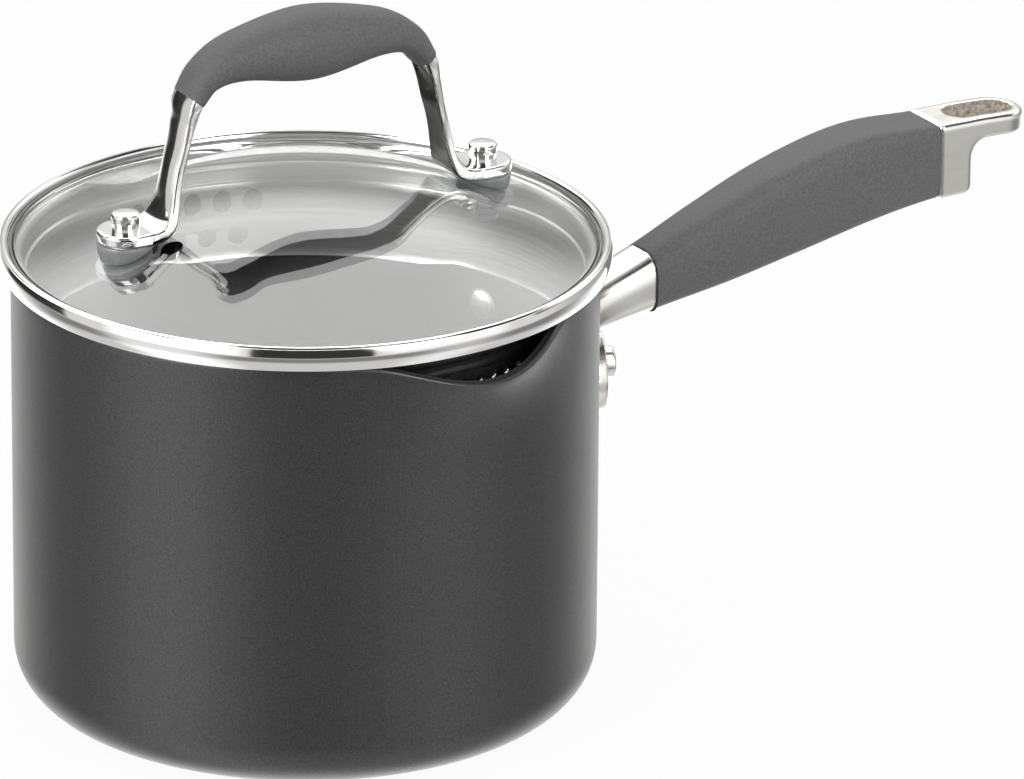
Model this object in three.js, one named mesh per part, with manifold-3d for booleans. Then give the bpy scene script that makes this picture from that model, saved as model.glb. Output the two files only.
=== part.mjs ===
// Two-litre straining saucepan with a glass lid. Millimetres, +Z up.
// Origin: centre of the flat base. The long handle points along +X.
import * as THREE from 'three';
import { mergeVertices } from 'three/addons/utils/BufferGeometryUtils.js';
import Module from 'manifold-3d';

const wasm = await Module();
wasm.setup();

// ---------------------------------------------------------------- driving dimensions

const clearance = 0.3; // gap left between pieces that touch on the real object

// Pan
const panOuterRadius = 78;
const panHeight = 120.8;
const wallThickness = 2.7;
const floorThickness = 4.2;
const baseCornerRadius = 16;
const floorCornerRadius = 13;
const spoutAngle = -84.5; // degrees from the long handle; the second spout is opposite
const spoutHalfAngle = 28;
const spoutDrop = 7.2;
const spoutBulge = 7.5;
const spoutReachDown = 38;

// Bracket and rivets of the long handle
const rivetDrop = 36.3; // rivet axis below the rim
const rivetHalfAngle = 18.5;
const rivetShankRadius = 2.7;
const rivetHeadRadius = 4.5;
const rivetHeadHeight = 3;
const rivetInnerHeadHeight = 2.2;
const plateThickness = 3;
const plateHeight = 24.5;
const plateEndMargin = 9.5; // plate beyond the rivet axis
const plateDrop = 3.2; // plate's middle below the rivet axis

// Long handle: heights are taken from the rivet axis
const neckLength = 28;
const gripLength = 92;
const capLength = 31;
const neckRootRise = 4.4;
const neckRootHalfHeight = 5.6;
const neckRootWidth = 30;
const neckWidth = 16.5;
const neckEndRise = 9.8;
const neckEndHalfHeight = 8.1;
const gripSwellRise = 21.9;
const gripSwellHalfHeight = 12.6;
const gripSwellWidth = 20;
const gripSwellAt = 45; // swell from the start of the grip
const gripTailRise = 26.5;
const gripTailHalfHeight = 12.7;
const gripTailWidth = 18.4;
const gripTailAt = 69;
const gripEndRise = 27.2;
const gripEndHalfHeight = 10.9;
const capWidth = 16.6;
const capTipThickness = 6.2;
const capTipDrop = 1.4;
const capPlateThickness = 6.9;
const capLugLength = 11;
const capFilletRadius = 4.5;
const capCornerRadius = 2.6;
const slotLength = 21;
const slotWidth = 10.2;
const slotMargin = 7.7; // from the slot to the seam with the grip
const handleSquareness = 6; // of its section: 2 is round, 6 nearly square
const tangHalfHeight = 4;
const tangWidth = 8;
const tangEndDepth = 4; // tang inside the end cap

// Lid rim: a rolled hoop that holds the glass and the strainer skirt
const hoopBeadRadius = 1.4;
const hoopOverhang = 2; // bead's circle beyond the pan's wall
const hoopWall = 1.4;
const hoopLipWidth = 1.6;
const hoopLipThickness = 0.6;
const skirtSheet = 0.5;
const skirtPlay = 0.8; // collar inside the pan's wall
const skirtStep = 0.9; // skirt inside the collar
const skirtCollarDepth = 4.6;
const skirtDepth = 28.6; // below the flange
const largeHoleRadius = 2.9;
const largeHolePitchAngle = 6.7;
const largeHoleColumns = 6;
const largeHoleMiddleAngle = 89;
const largeHoleRowDrops = [10.7, 20.6];
const smallHoleRadius = 1.3;
const smallHolePitchAngle = 3.6;
const smallHoleColumns = 12;
const smallHoleRowDrops = [12, 16.5, 21];

// Glass
const glassThickness = 3.5;
const crownArcRadius = 155;
const crownRadius = 66;
const brimBendRadius = 15;
const brimSlopeAngle = 5;
const edgeSealThickness = 0.5;
const ventRadius = 2.85;
const ventReach = 45.1;
const ventOffset = 9.4;

// Lid handle, in its own upright plane; heights are taken from the glass edge
const lidTurn = -2.5; // lid handle against the long handle, degrees
const footSetback = 15.4; // foot rivet beyond the leg
const footTopRise = 13.6;
const footThickness = 3.4;
const footInset = 7;
const footRadius = 7.8;
const footPadRadius = 7.7;
const footPadSetback = 7;
const lidRivetHeadRadius = 4;
const lidRivetHeadHeight = 4.3;
const lidRivetShankRadius = 2.3;
const lidRivetLowerHeadRadius = 3.8;
const lidRivetLowerHeadHeight = 1.6;
const innerSealRadius = 7.5;
const innerSealThickness = 1.8;
const innerWasherRadius = 6.5;
const innerWasherThickness = 1;
const legReach = 38.4;
const legRise = 33;
const legTopReach = 34.9;
const legTopRise = 46.5;
const strapWidth = 10.4;
const strapTopWidth = 11.4;
const strapThickness = 3.6;
const strapCoreWidth = 7.4; // inside the grip
const strapCoreThickness = 2.6;
const archRise = 55.9;
const archShoulderReach = 20;
const archShoulderRise = 55.6;
const archCornerReach = 30;
const archCornerRise = 52.3;
const lidGripMidHalfHeight = 9.8;
const lidGripMidWidth = 21;
const lidGripShoulderHalfHeight = 6.3;
const lidGripShoulderWidth = 17;
const lidGripCornerHalfHeight = 4.2;
const lidGripCornerWidth = 13.6;
const lidGripEndHalfHeight = 3.2;
const lidGripEndWidth = 12.4;

// Fineness of the round surfaces
const ringSteps = 64;
const glassSteps = 48;
const strapSteps = 36;
const strapSides = 10;
const arcSteps = 4;
const largeHoleSides = 10;
const smallHoleSides = 6;

// ---------------------------------------------------------------- derived places

const rivetHeight = panHeight - rivetDrop;
const plateInnerRadius = panOuterRadius + clearance;
const plateOuterRadius = plateInnerRadius + plateThickness;
const neckEnd = panOuterRadius + neckLength;
const gripEnd = neckEnd + gripLength;
const capEnd = gripEnd + capLength;

const footReach = legReach + footSetback;
const panInnerRadius = panOuterRadius - wallThickness;
const skirtCollarRadius = panInnerRadius - skirtPlay;
const skirtRadius = skirtCollarRadius - skirtStep;
const hoopBeadCircleRadius = panOuterRadius + hoopOverhang;
const hoopInnerRadius = hoopBeadCircleRadius - hoopWall;
const hoopLipRadius = hoopInnerRadius - hoopLipWidth;
const glassRadius = hoopInnerRadius - edgeSealThickness - 2 * clearance;

const hoopBottom = panHeight + clearance;
const flangeBottom = hoopBottom + hoopLipThickness + clearance;
const flangeTop = flangeBottom + skirtSheet;
const glassEdgeBottom = flangeTop + clearance;
const glassEdgeTop = glassEdgeBottom + glassThickness;

const footTop = glassEdgeTop + footTopRise;
const footBottom = footTop - footThickness;

// ---------------------------------------------------------------- materials

const finish = (color, roughness, metalness) =>
  new THREE.MeshStandardMaterial({ color, roughness, metalness });

const anodisedFinish = () => finish(0x45454a, 0.45, 0.6);
const castSteelFinish = () => finish(0xc9c4be, 0.28, 1);
const polishedSteelFinish = () => finish(0xd6d6d6, 0.1, 1);
const brushedSteelFinish = () => finish(0xbdbdbd, 0.35, 1);
const handleRubberFinish = () => finish(0x626265, 0.75, 0);
const sealRubberFinish = () => finish(0x70757c, 0.6, 0);

function glassFinish() {
  const glass = finish(0xe8efed, 0.03, 0);
  glass.transparent = true;
  glass.opacity = 0.35;
  return glass;
}

// ---------------------------------------------------------------- solid helpers

// A closed geometry as a solid that can be joined and cut.
function solid(geometry) {
  const bare = geometry.clone();
  bare.deleteAttribute('normal');
  bare.deleteAttribute('uv');
  const merged = mergeVertices(bare, 1e-4);
  return new wasm.Manifold(new wasm.Mesh({
    numProp: 3,
    vertProperties: new Float32Array(merged.attributes.position.array),
    triVerts: new Uint32Array(merged.index.array),
  }));
}

// A solid as a named mesh with its own material.
function mesh(name, body, material) {
  const { vertProperties, triVerts } = body.getMesh();
  const geometry = new THREE.BufferGeometry();
  geometry.setAttribute('position', new THREE.BufferAttribute(vertProperties, 3));
  geometry.setIndex(new THREE.BufferAttribute(triVerts, 1));
  geometry.computeVertexNormals();
  const result = new THREE.Mesh(geometry, material);
  result.name = name;
  return result;
}

const degrees = THREE.MathUtils.degToRad;
const flat = (x, y) => new THREE.Vector2(x, y);

// Points on an arc about (cx, cy), both ends included.
function arc(cx, cy, radius, fromDegrees, toDegrees, steps = arcSteps) {
  return Array.from({ length: steps + 1 }, (_, i) => {
    const angle = degrees(fromDegrees + ((toDegrees - fromDegrees) * i) / steps);
    return flat(cx + radius * Math.cos(angle), cy + radius * Math.sin(angle));
  });
}

// A ring or disc turned about Z. The outline is (radius, height) pairs, anticlockwise.
function turned(outline, steps = ringSteps) {
  const onAxis = outline[0].x < 1e-6;
  const profile = onAxis ? outline : [...outline, outline[0].clone()];
  const geometry = new THREE.LatheGeometry(profile, steps);
  return geometry.rotateX(Math.PI / 2);
}

// A round rod along Z between two heights.
function rod(radius, bottom, top, steps = 24) {
  const geometry = new THREE.CylinderGeometry(radius, radius, top - bottom, steps);
  return solid(geometry.rotateX(Math.PI / 2).translate(0, 0, (bottom + top) / 2));
}

// A flat outline (x, y) raised from bottom to top, with softened edges if bevel is given.
function raised(shape, bottom, top, bevel = 0) {
  const geometry = new THREE.ExtrudeGeometry(shape, {
    depth: top - bottom - 2 * bevel,
    bevelEnabled: bevel > 0,
    bevelThickness: bevel,
    bevelSize: bevel,
    bevelOffset: -bevel,
    bevelSegments: 2,
    curveSegments: 6,
  });
  return geometry.translate(0, 0, bottom + bevel);
}

// A side outline (x, z) with a width across Y, centred on the XZ plane.
function sideCut(shape, width, bevel = 0) {
  const geometry = raised(shape, -width / 2, width / 2, bevel);
  return solid(geometry.rotateX(Math.PI / 2));
}

// A long outline with round ends, from x = start to x = end.
function stadium(start, end, radius) {
  const shape = new THREE.Shape();
  shape.absarc(end - radius, 0, radius, -Math.PI / 2, Math.PI / 2);
  shape.absarc(start + radius, 0, radius, Math.PI / 2, (3 * Math.PI) / 2);
  return shape;
}

// A bar that follows stations in the XZ plane. A station gives the centre (x, z), the half
// height across the bar and the half width along Y; squareness 2 is round, 4 nearly square.
function bentBar(stations, squareness, lengthSteps, sectionSteps = 20) {
  const line = new THREE.CatmullRomCurve3(stations.map((s) => new THREE.Vector3(s.x, 0, s.z)));
  const sizes = new THREE.CatmullRomCurve3(
    stations.map((s) => new THREE.Vector3(s.halfHeight, s.halfWidth, 0)));
  const geometry = new THREE.CylinderGeometry(1, 1, 1, sectionSteps, lengthSteps);
  const place = geometry.attributes.position;
  const soften = (value) => {
    const size = Math.abs(value) < 1e-9 ? 0 : Math.abs(value);
    return Math.sign(value) * size ** (2 / squareness);
  };
  for (let i = 0; i < place.count; i += 1) {
    const along = THREE.MathUtils.clamp(place.getY(i) + 0.5, 0, 1);
    const centre = line.getPoint(along);
    const tangent = line.getTangent(along);
    const size = sizes.getPoint(along);
    const across = soften(place.getX(i)) * size.x;
    const aside = soften(place.getZ(i)) * size.y;
    place.setXYZ(i, centre.x - tangent.z * across, aside, centre.z + tangent.x * across);
  }
  return solid(geometry);
}

// ---------------------------------------------------------------- pan

// How strongly a spout shapes the rim at an angle: 1 at its middle, 0 at its ends.
function spoutWeight(angleDegrees) {
  const off = THREE.MathUtils.euclideanModulo(angleDegrees - spoutAngle + 90, 180) - 90;
  return Math.abs(off) < spoutHalfAngle ? Math.cos((off / spoutHalfAngle) * (Math.PI / 2)) ** 2 : 0;
}

// How far a pan point moves out and down where a spout is pressed into the rim.
function pressSpouts(geometry) {
  const place = geometry.attributes.position;
  const start = panHeight - spoutReachDown;
  for (let i = 0; i < place.count; i += 1) {
    const x = place.getX(i);
    const y = place.getY(i);
    const z = place.getZ(i);
    const radius = Math.hypot(x, y);
    const height = THREE.MathUtils.clamp((z - start) / spoutReachDown, 0, 1);
    const nearWall = radius > panOuterRadius - 2 * wallThickness ? 1 : 0;
    const weight = nearWall * spoutWeight(THREE.MathUtils.radToDeg(Math.atan2(y, x)));
    const out = 1 + (spoutBulge * weight * height ** 2.4) / Math.max(radius, 1);
    place.setXYZ(i, x * out, y * out, z - spoutDrop * weight * height ** 2);
  }
  return geometry;
}

function panOutline() {
  const lipRadius = wallThickness / 2;
  const baseCentre = panOuterRadius - baseCornerRadius;
  const floorCentre = panInnerRadius - floorCornerRadius;
  const heights = [0.4, 0.68, 0.8, 0.88, 0.94].map((part) => part * panHeight);
  return [
    flat(0, 0),
    flat(baseCentre / 2, 0),
    ...arc(baseCentre, baseCornerRadius, baseCornerRadius, -90, 0),
    ...heights.map((z) => flat(panOuterRadius, z)),
    ...arc(panOuterRadius - lipRadius, panHeight - lipRadius, lipRadius, 0, 180),
    ...heights.toReversed().map((z) => flat(panInnerRadius, z)),
    ...arc(floorCentre, floorThickness + floorCornerRadius, floorCornerRadius, 0, -90),
    flat(0, floorThickness),
  ];
}

function rivetHole(angle) {
  const hole = rod(rivetShankRadius + clearance, panOuterRadius - 20, panOuterRadius + 20);
  return hole.rotate([0, 90, angle]).translate([0, 0, rivetHeight]);
}

function panBody() {
  const shell = solid(pressSpouts(turned(panOutline())));
  return shell.subtract(rivetHole(rivetHalfAngle)).subtract(rivetHole(-rivetHalfAngle));
}

// ---------------------------------------------------------------- long handle

const handleStations = () => [
  { at: panOuterRadius + plateThickness, rise: neckRootRise,
    halfHeight: neckRootHalfHeight, width: neckRootWidth },
  { at: panOuterRadius + neckLength / 3, rise: neckRootRise + (neckEndRise - neckRootRise) / 4,
    halfHeight: neckRootHalfHeight + 0.6, width: neckWidth },
  { at: neckEnd, rise: neckEndRise, halfHeight: neckEndHalfHeight, width: neckWidth },
  { at: neckEnd + gripSwellAt / 2, rise: (neckEndRise + gripSwellRise) / 2,
    halfHeight: (neckEndHalfHeight + gripSwellHalfHeight) / 2 + 0.6,
    width: (neckWidth + gripSwellWidth) / 2 },
  { at: neckEnd + gripSwellAt, rise: gripSwellRise,
    halfHeight: gripSwellHalfHeight, width: gripSwellWidth },
  { at: neckEnd + gripTailAt, rise: gripTailRise,
    halfHeight: gripTailHalfHeight, width: gripTailWidth },
  { at: gripEnd, rise: gripEndRise, halfHeight: gripEndHalfHeight, width: capWidth },
  { at: gripEnd + capLength / 2, rise: gripEndRise, halfHeight: gripEndHalfHeight, width: capWidth },
];

// The handle's outer form from the wall to inside the end cap.
function handleForm() {
  const stations = handleStations().map((s) => (
    { x: s.at, z: rivetHeight + s.rise, halfHeight: s.halfHeight, halfWidth: s.width / 2 }));
  return bentBar(stations, handleSquareness, 24, 16);
}

// The tang runs down the middle of the handle; extra is added all round for its channel.
function tang(end, extra) {
  const stations = handleStations().slice(1).map((s) => (
    { x: s.at, z: rivetHeight + s.rise,
      halfHeight: tangHalfHeight + extra, halfWidth: tangWidth / 2 + extra }));
  return bentBar(stations, 4, 14, 8).intersect(slab(panOuterRadius, end));
}

// Everything between two planes across X.
function slab(start, end) {
  const box = new THREE.BoxGeometry(end - start, 4 * panOuterRadius, 4 * panHeight);
  return solid(box.translate((start + end) / 2, 0, 0));
}

function bracketPlate() {
  const halfWidth = plateInnerRadius * Math.sin(degrees(rivetHalfAngle)) + plateEndMargin;
  const middle = rivetHeight - plateDrop;
  const outline = stadium(-halfWidth, halfWidth, plateHeight / 2);
  const face = solid(raised(outline, 0, 2 * panOuterRadius)
    .rotateX(Math.PI / 2).rotateZ(Math.PI / 2).translate(0, 0, middle));
  const ring = solid(turned([
    flat(plateInnerRadius, middle - plateHeight),
    flat(plateOuterRadius, middle - plateHeight),
    flat(plateOuterRadius, middle + plateHeight),
    flat(plateInnerRadius, middle + plateHeight),
  ]));
  return ring.intersect(face).intersect(slab(0, 2 * panOuterRadius));
}

function handleBracket() {
  const neck = handleForm().intersect(slab(panOuterRadius, neckEnd));
  const wallSide = rod(plateInnerRadius, 0, panHeight, ringSteps);
  const joined = bracketPlate().add(neck).add(tang(gripEnd + tangEndDepth, 0)).subtract(wallSide);
  return joined.subtract(rivetHole(rivetHalfAngle)).subtract(rivetHole(-rivetHalfAngle));
}

function handleGrip() {
  const sleeve = handleForm().intersect(slab(neckEnd + clearance, gripEnd - clearance));
  return sleeve.subtract(tang(gripEnd + capLength / 2, clearance));
}

// Side view of the end cap: a plate that thins to the tip, with a lug below its root.
function capSide() {
  const top = rivetHeight + gripEndRise + gripEndHalfHeight;
  const bottom = rivetHeight + gripEndRise - gripEndHalfHeight;
  const underside = top - capPlateThickness;
  const lugEnd = gripEnd + capLugLength;
  const tipTop = top - capTipDrop;
  const tipBottom = tipTop - capTipThickness;
  return new THREE.Shape([
    flat(gripEnd, bottom),
    ...arc(lugEnd - capCornerRadius, bottom + capCornerRadius, capCornerRadius, -90, 0, 3),
    ...arc(lugEnd + capFilletRadius, underside - capFilletRadius, capFilletRadius, 180, 90, 4),
    flat(capEnd - 1, tipBottom),
    flat(capEnd, tipBottom + 1),
    flat(capEnd, tipTop - 1),
    flat(capEnd - 1.4, tipTop),
    flat(gripEnd + capLength / 2, top - capTipDrop / 4),
    flat(gripEnd, top),
  ]);
}

function handleEndCap() {
  const side = sideCut(capSide(), capWidth, 0.6);
  const plan = stadium(gripEnd - capWidth, capEnd, capWidth / 2);
  const slotStart = gripEnd + slotMargin;
  const slot = stadium(slotStart, slotStart + slotLength, slotWidth / 2);
  const above = 2 * panHeight;
  return side.intersect(solid(raised(plan, 0, above)))
    .intersect(slab(gripEnd + clearance, capEnd + clearance))
    .subtract(solid(raised(slot, 0, above)))
    .subtract(tang(gripEnd + tangEndDepth + clearance, clearance));
}

// A rivet along its own axis, from the domed head inside the pan to the head outside.
function handleRivet(angle) {
  const wallInside = panOuterRadius - wallThickness - clearance;
  const plateOutside = plateOuterRadius + clearance;
  const dome = rivetInnerHeadHeight;
  const outline = [
    flat(0, wallInside - dome),
    flat(rivetHeadRadius * 0.55, wallInside - dome * 0.85),
    flat(rivetHeadRadius * 0.88, wallInside - dome * 0.45),
    flat(rivetHeadRadius, wallInside),
    flat(rivetShankRadius, wallInside),
    flat(rivetShankRadius, plateOutside),
    flat(rivetHeadRadius, plateOutside),
    flat(rivetHeadRadius, plateOutside + rivetHeadHeight * 0.75),
    flat(rivetHeadRadius * 0.85, plateOutside + rivetHeadHeight),
    flat(0, plateOutside + rivetHeadHeight),
  ];
  const pin = solid(turned(outline, 20));
  return pin.rotate([0, 90, angle]).translate([0, 0, rivetHeight]);
}

// ---------------------------------------------------------------- lid rim and skirt

function lidRimHoop() {
  return solid(turned([
    flat(hoopLipRadius, hoopBottom),
    flat(hoopBeadCircleRadius - 0.4, hoopBottom),
    flat(hoopBeadCircleRadius, hoopBottom + 0.4),
    ...arc(hoopBeadCircleRadius, glassEdgeTop, hoopBeadRadius, -20, 180, 5),
    flat(hoopInnerRadius, glassEdgeTop - hoopBeadRadius / 2),
    flat(hoopInnerRadius, hoopBottom + hoopLipThickness),
    flat(hoopLipRadius, hoopBottom + hoopLipThickness),
  ]));
}

function glassEdgeSeal() {
  const outer = hoopInnerRadius - clearance;
  return solid(turned([
    flat(outer - edgeSealThickness, glassEdgeBottom),
    flat(outer, glassEdgeBottom),
    flat(outer, glassEdgeTop - clearance),
    flat(outer - edgeSealThickness, glassEdgeTop - clearance),
  ]));
}

// Round holes through the skirt at even angles about a middle angle.
function skirtHoles(middle, radius, sides, columns, pitch, drop) {
  return Array.from({ length: columns }, (_, i) => {
    const hole = rod(radius, skirtRadius - 8, skirtRadius + 8, sides);
    const angle = middle + (i - (columns - 1) / 2) * pitch;
    return hole.rotate([0, 90, angle]).translate([0, 0, flangeTop - drop]);
  });
}

function strainerSkirt() {
  const flangeOuter = hoopInnerRadius - clearance;
  const bottom = flangeBottom - skirtDepth;
  const shoulder = flangeBottom - skirtCollarDepth;
  const sheet = skirtSheet;
  const shell = solid(turned([
    flat(skirtRadius - sheet, bottom),
    flat(skirtRadius, bottom),
    flat(skirtRadius, shoulder - 0.8),
    flat(skirtCollarRadius, shoulder),
    flat(skirtCollarRadius, flangeBottom - 1),
    flat(skirtCollarRadius + 1, flangeBottom),
    flat(flangeOuter, flangeBottom),
    flat(flangeOuter, flangeTop),
    flat(skirtCollarRadius + 0.6, flangeTop),
    flat(skirtCollarRadius - sheet, flangeTop - 1.2),
    flat(skirtCollarRadius - sheet, shoulder + 0.2),
    flat(skirtRadius - sheet, shoulder - 0.6),
  ]));
  const large = largeHoleRowDrops.flatMap((drop, row) => (
    skirtHoles(
      largeHoleMiddleAngle, largeHoleRadius, largeHoleSides, largeHoleColumns - row, largeHolePitchAngle, drop)));
  const small = smallHoleRowDrops.flatMap((drop, row) => (
    skirtHoles(
      -90, smallHoleRadius, smallHoleSides, smallHoleColumns - (row % 2), smallHolePitchAngle, drop)));
  return [...large, ...small].reduce((body, hole) => body.subtract(hole), shell);
}

// ---------------------------------------------------------------- glass

// Points (radius, height) of the glass's upper surface, lifted by a distance, from the
// axis to a radius: a crown arc, a tight reverse bend and a nearly flat brim.
function glassLine(lift, toRadius) {
  const brimSlope = THREE.MathUtils.degToRad(brimSlopeAngle);
  const turnSlope = Math.asin(crownRadius / crownArcRadius);
  const brimStart = crownRadius + brimBendRadius * (Math.sin(turnSlope) - Math.sin(brimSlope));
  const brimHeight = glassEdgeTop + (glassRadius - brimStart) * Math.tan(brimSlope);
  const bend = [1, 0.6, 0.3, 0].map((part) => {
    const slope = brimSlope + part * (turnSlope - brimSlope);
    return flat(
      brimStart - brimBendRadius * (Math.sin(slope) - Math.sin(brimSlope)),
      lift + brimHeight + brimBendRadius * (Math.cos(brimSlope) - Math.cos(slope)));
  });
  const crown = [0, 0.26, 0.52, 0.78].map((part) => {
    const radius = part * crownRadius;
    const rise = Math.sqrt(crownArcRadius ** 2 - radius ** 2) - crownArcRadius * Math.cos(turnSlope);
    return flat(radius, bend[0].y + rise);
  });
  const brim = flat(toRadius, lift + brimHeight - (toRadius - brimStart) * Math.tan(brimSlope));
  return [...crown, ...bend, brim];
}

// The layer between two distances from the glass's upper surface.
function glassLayer(lower, upper, radius = glassRadius) {
  const line = glassLine(0, radius);
  const lifted = (lift) => line.map((point) => flat(point.x, point.y + lift));
  return solid(turned([...lifted(lower), ...lifted(upper).toReversed()], glassSteps));
}

function lidGlass() {
  const high = 2 * panHeight;
  const rivetHoleAt = (x) => rod(lidRivetShankRadius + clearance, 0, high).translate([x, 0, 0]);
  return glassLayer(-glassThickness, 0)
    .subtract(rivetHoleAt(footReach))
    .subtract(rivetHoleAt(-footReach))
    .subtract(rod(ventRadius, 0, high).translate([-ventReach, -ventOffset, 0]));
}

// ---------------------------------------------------------------- lid handle

// The strap's centre line over the lid, with heights above the glass edge. It narrows to
// a core inside the grip; extra is added all round for the grip's channel.
function strapStations(extra = 0) {
  const footMiddle = footTopRise - footThickness / 2;
  const half = [
    { x: footReach, rise: footMiddle },
    { x: legReach + footSetback / 2, rise: footMiddle + 0.3 },
    { x: legReach + strapThickness, rise: footTopRise + 3 },
    { x: legReach, rise: legRise },
    { x: (legReach + 3 * legTopReach) / 4, rise: legTopRise - strapThickness, width: strapTopWidth },
    { x: legTopReach, rise: legTopRise },
    { x: archCornerReach, rise: archCornerRise, width: strapCoreWidth, thickness: strapCoreThickness },
    { x: archShoulderReach, rise: archShoulderRise,
      width: strapCoreWidth, thickness: strapCoreThickness },
  ];
  const middle = { x: 0, rise: archRise, width: strapCoreWidth, thickness: strapCoreThickness };
  const line = [...half, middle, ...half.toReversed().map((s) => ({ ...s, x: -s.x }))];
  return line.map(({ x, rise, width = strapWidth, thickness = strapThickness }) => (
    { x, z: glassEdgeTop + rise,
      halfHeight: thickness / 2 + extra, halfWidth: width / 2 + extra }));
}

function lidHandleStrap() {
  const strap = bentBar(strapStations(), 3, strapSteps, strapSides);
  const reach = new THREE.BoxGeometry(2 * footReach, 2 * footRadius, panHeight);
  const trimmed = strap.intersect(solid(reach.translate(0, 0, footBottom + panHeight / 2)));
  const hole = rod(lidRivetShankRadius + clearance, footBottom - 1, footTop + 1);
  const foot = (x) => {
    const inner = legReach + footInset;
    const outer = footReach + footRadius;
    const shape = x > 0 ? stadium(inner, outer, footRadius) : stadium(-outer, -inner, footRadius);
    return solid(raised(shape, footBottom, footTop, 0.6));
  };
  const rivetSeat = (x) => rod(footRadius - 1, footTop, footTop + 6).translate([x, 0, 0]);
  return trimmed.subtract(rivetSeat(footReach)).subtract(rivetSeat(-footReach))
    .add(foot(footReach)).add(foot(-footReach))
    .subtract(hole.translate([footReach, 0, 0]))
    .subtract(hole.translate([-footReach, 0, 0]));
}

function lidGrip() {
  const channel = bentBar(strapStations(clearance), 3, strapSteps, strapSides);
  const side = [
    { x: legTopReach, rise: legTopRise, half: lidGripEndHalfHeight, width: lidGripEndWidth },
    { x: archCornerReach, rise: archCornerRise, half: lidGripCornerHalfHeight,
      width: lidGripCornerWidth },
    { x: archShoulderReach, rise: archShoulderRise, half: lidGripShoulderHalfHeight,
      width: lidGripShoulderWidth },
  ];
  const middle = { x: 0, rise: archRise, half: lidGripMidHalfHeight, width: lidGripMidWidth };
  const line = [...side, middle, ...side.toReversed().map((s) => ({ ...s, x: -s.x }))];
  const stations = line.map((s) => (
    { x: s.x, z: glassEdgeTop + s.rise, halfHeight: s.half, halfWidth: s.width / 2 }));
  return bentBar(stations, 2.2, 24, 14).subtract(channel);
}

// Soft pad between a foot and the glass, shaped to the dome.
function footPad(x) {
  const shape = x > 0
    ? stadium(legReach + footPadSetback, footReach + footPadRadius, footPadRadius)
    : stadium(-footReach - footPadRadius, -legReach - footPadSetback, footPadRadius);
  const block = solid(raised(shape, glassEdgeTop - 10, footBottom - clearance));
  const dome = glassLayer(-60, clearance);
  const hole = rod(lidRivetShankRadius + clearance, 0, footTop).translate([x, 0, 0]);
  return block.subtract(dome).subtract(hole);
}

// A disc below the glass, between two depths under its lower surface.
function discUnderGlass(x, radius, from, to) {
  const layer = glassLayer(-glassThickness - to, -glassThickness - from);
  const disc = rod(radius, 0, 2 * panHeight, 24).translate([x, 0, 0]);
  const hole = rod(lidRivetShankRadius + clearance, 0, 2 * panHeight).translate([x, 0, 0]);
  return layer.intersect(disc).subtract(hole);
}

const innerSeal = (x) => discUnderGlass(x, innerSealRadius, clearance, clearance + innerSealThickness);

function innerWasher(x) {
  const from = innerSealThickness + 2 * clearance;
  return discUnderGlass(x, innerWasherRadius, from, from + innerWasherThickness);
}

function lidRivet(x) {
  const washer = innerWasher(x).boundingBox();
  const lowerTop = washer.min[2] - clearance;
  const headBottom = footTop + clearance;
  const headTop = headBottom + lidRivetHeadHeight;
  const outline = [
    flat(0, lowerTop - lidRivetLowerHeadHeight),
    flat(lidRivetLowerHeadRadius * 0.8, lowerTop - lidRivetLowerHeadHeight),
    flat(lidRivetLowerHeadRadius, lowerTop - lidRivetLowerHeadHeight * 0.6),
    flat(lidRivetLowerHeadRadius, lowerTop),
    flat(lidRivetShankRadius, lowerTop),
    flat(lidRivetShankRadius, headBottom),
    flat(lidRivetHeadRadius, headBottom),
    flat(lidRivetHeadRadius, headTop - 0.7),
    flat(lidRivetHeadRadius - 0.6, headTop - 0.15),
    flat(0, headTop),
  ];
  return solid(turned(outline, 24)).translate([x, 0, 0]);
}

// ---------------------------------------------------------------- the saucepan

const lid = new THREE.Group();
lid.rotation.z = degrees(lidTurn);
lid.add(
  mesh('lid_rim_hoop', lidRimHoop(), polishedSteelFinish()),
  mesh('lid_glass', lidGlass(), glassFinish()),
  mesh('glass_edge_seal', glassEdgeSeal(), sealRubberFinish()),
  mesh('strainer_skirt', strainerSkirt(), brushedSteelFinish()),
  mesh('lid_handle_strap', lidHandleStrap(), polishedSteelFinish()),
  mesh('lid_grip', lidGrip(), handleRubberFinish()),
);
for (const [side, x] of [['near', footReach], ['far', -footReach]]) {
  lid.add(
    mesh(`lid_foot_pad_${side}`, footPad(x), sealRubberFinish()),
    mesh(`lid_rivet_${side}`, lidRivet(x), polishedSteelFinish()),
    mesh(`lid_inner_seal_${side}`, innerSeal(x), sealRubberFinish()),
    mesh(`lid_inner_washer_${side}`, innerWasher(x), brushedSteelFinish()),
  );
}

const saucepan = new THREE.Group();
saucepan.add(
  mesh('pan_body', panBody(), anodisedFinish()),
  mesh('handle_bracket', handleBracket(), castSteelFinish()),
  mesh('handle_grip', handleGrip(), handleRubberFinish()),
  mesh('handle_end_cap', handleEndCap(), castSteelFinish()),
  mesh('handle_rivet_left', handleRivet(rivetHalfAngle), castSteelFinish()),
  mesh('handle_rivet_right', handleRivet(-rivetHalfAngle), castSteelFinish()),
  lid,
);

export default saucepan;
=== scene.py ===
"""Looks of the straining saucepan with a glass lid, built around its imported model."""
import math

import bmesh
import bpy
from mathutils import Matrix, Vector

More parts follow.
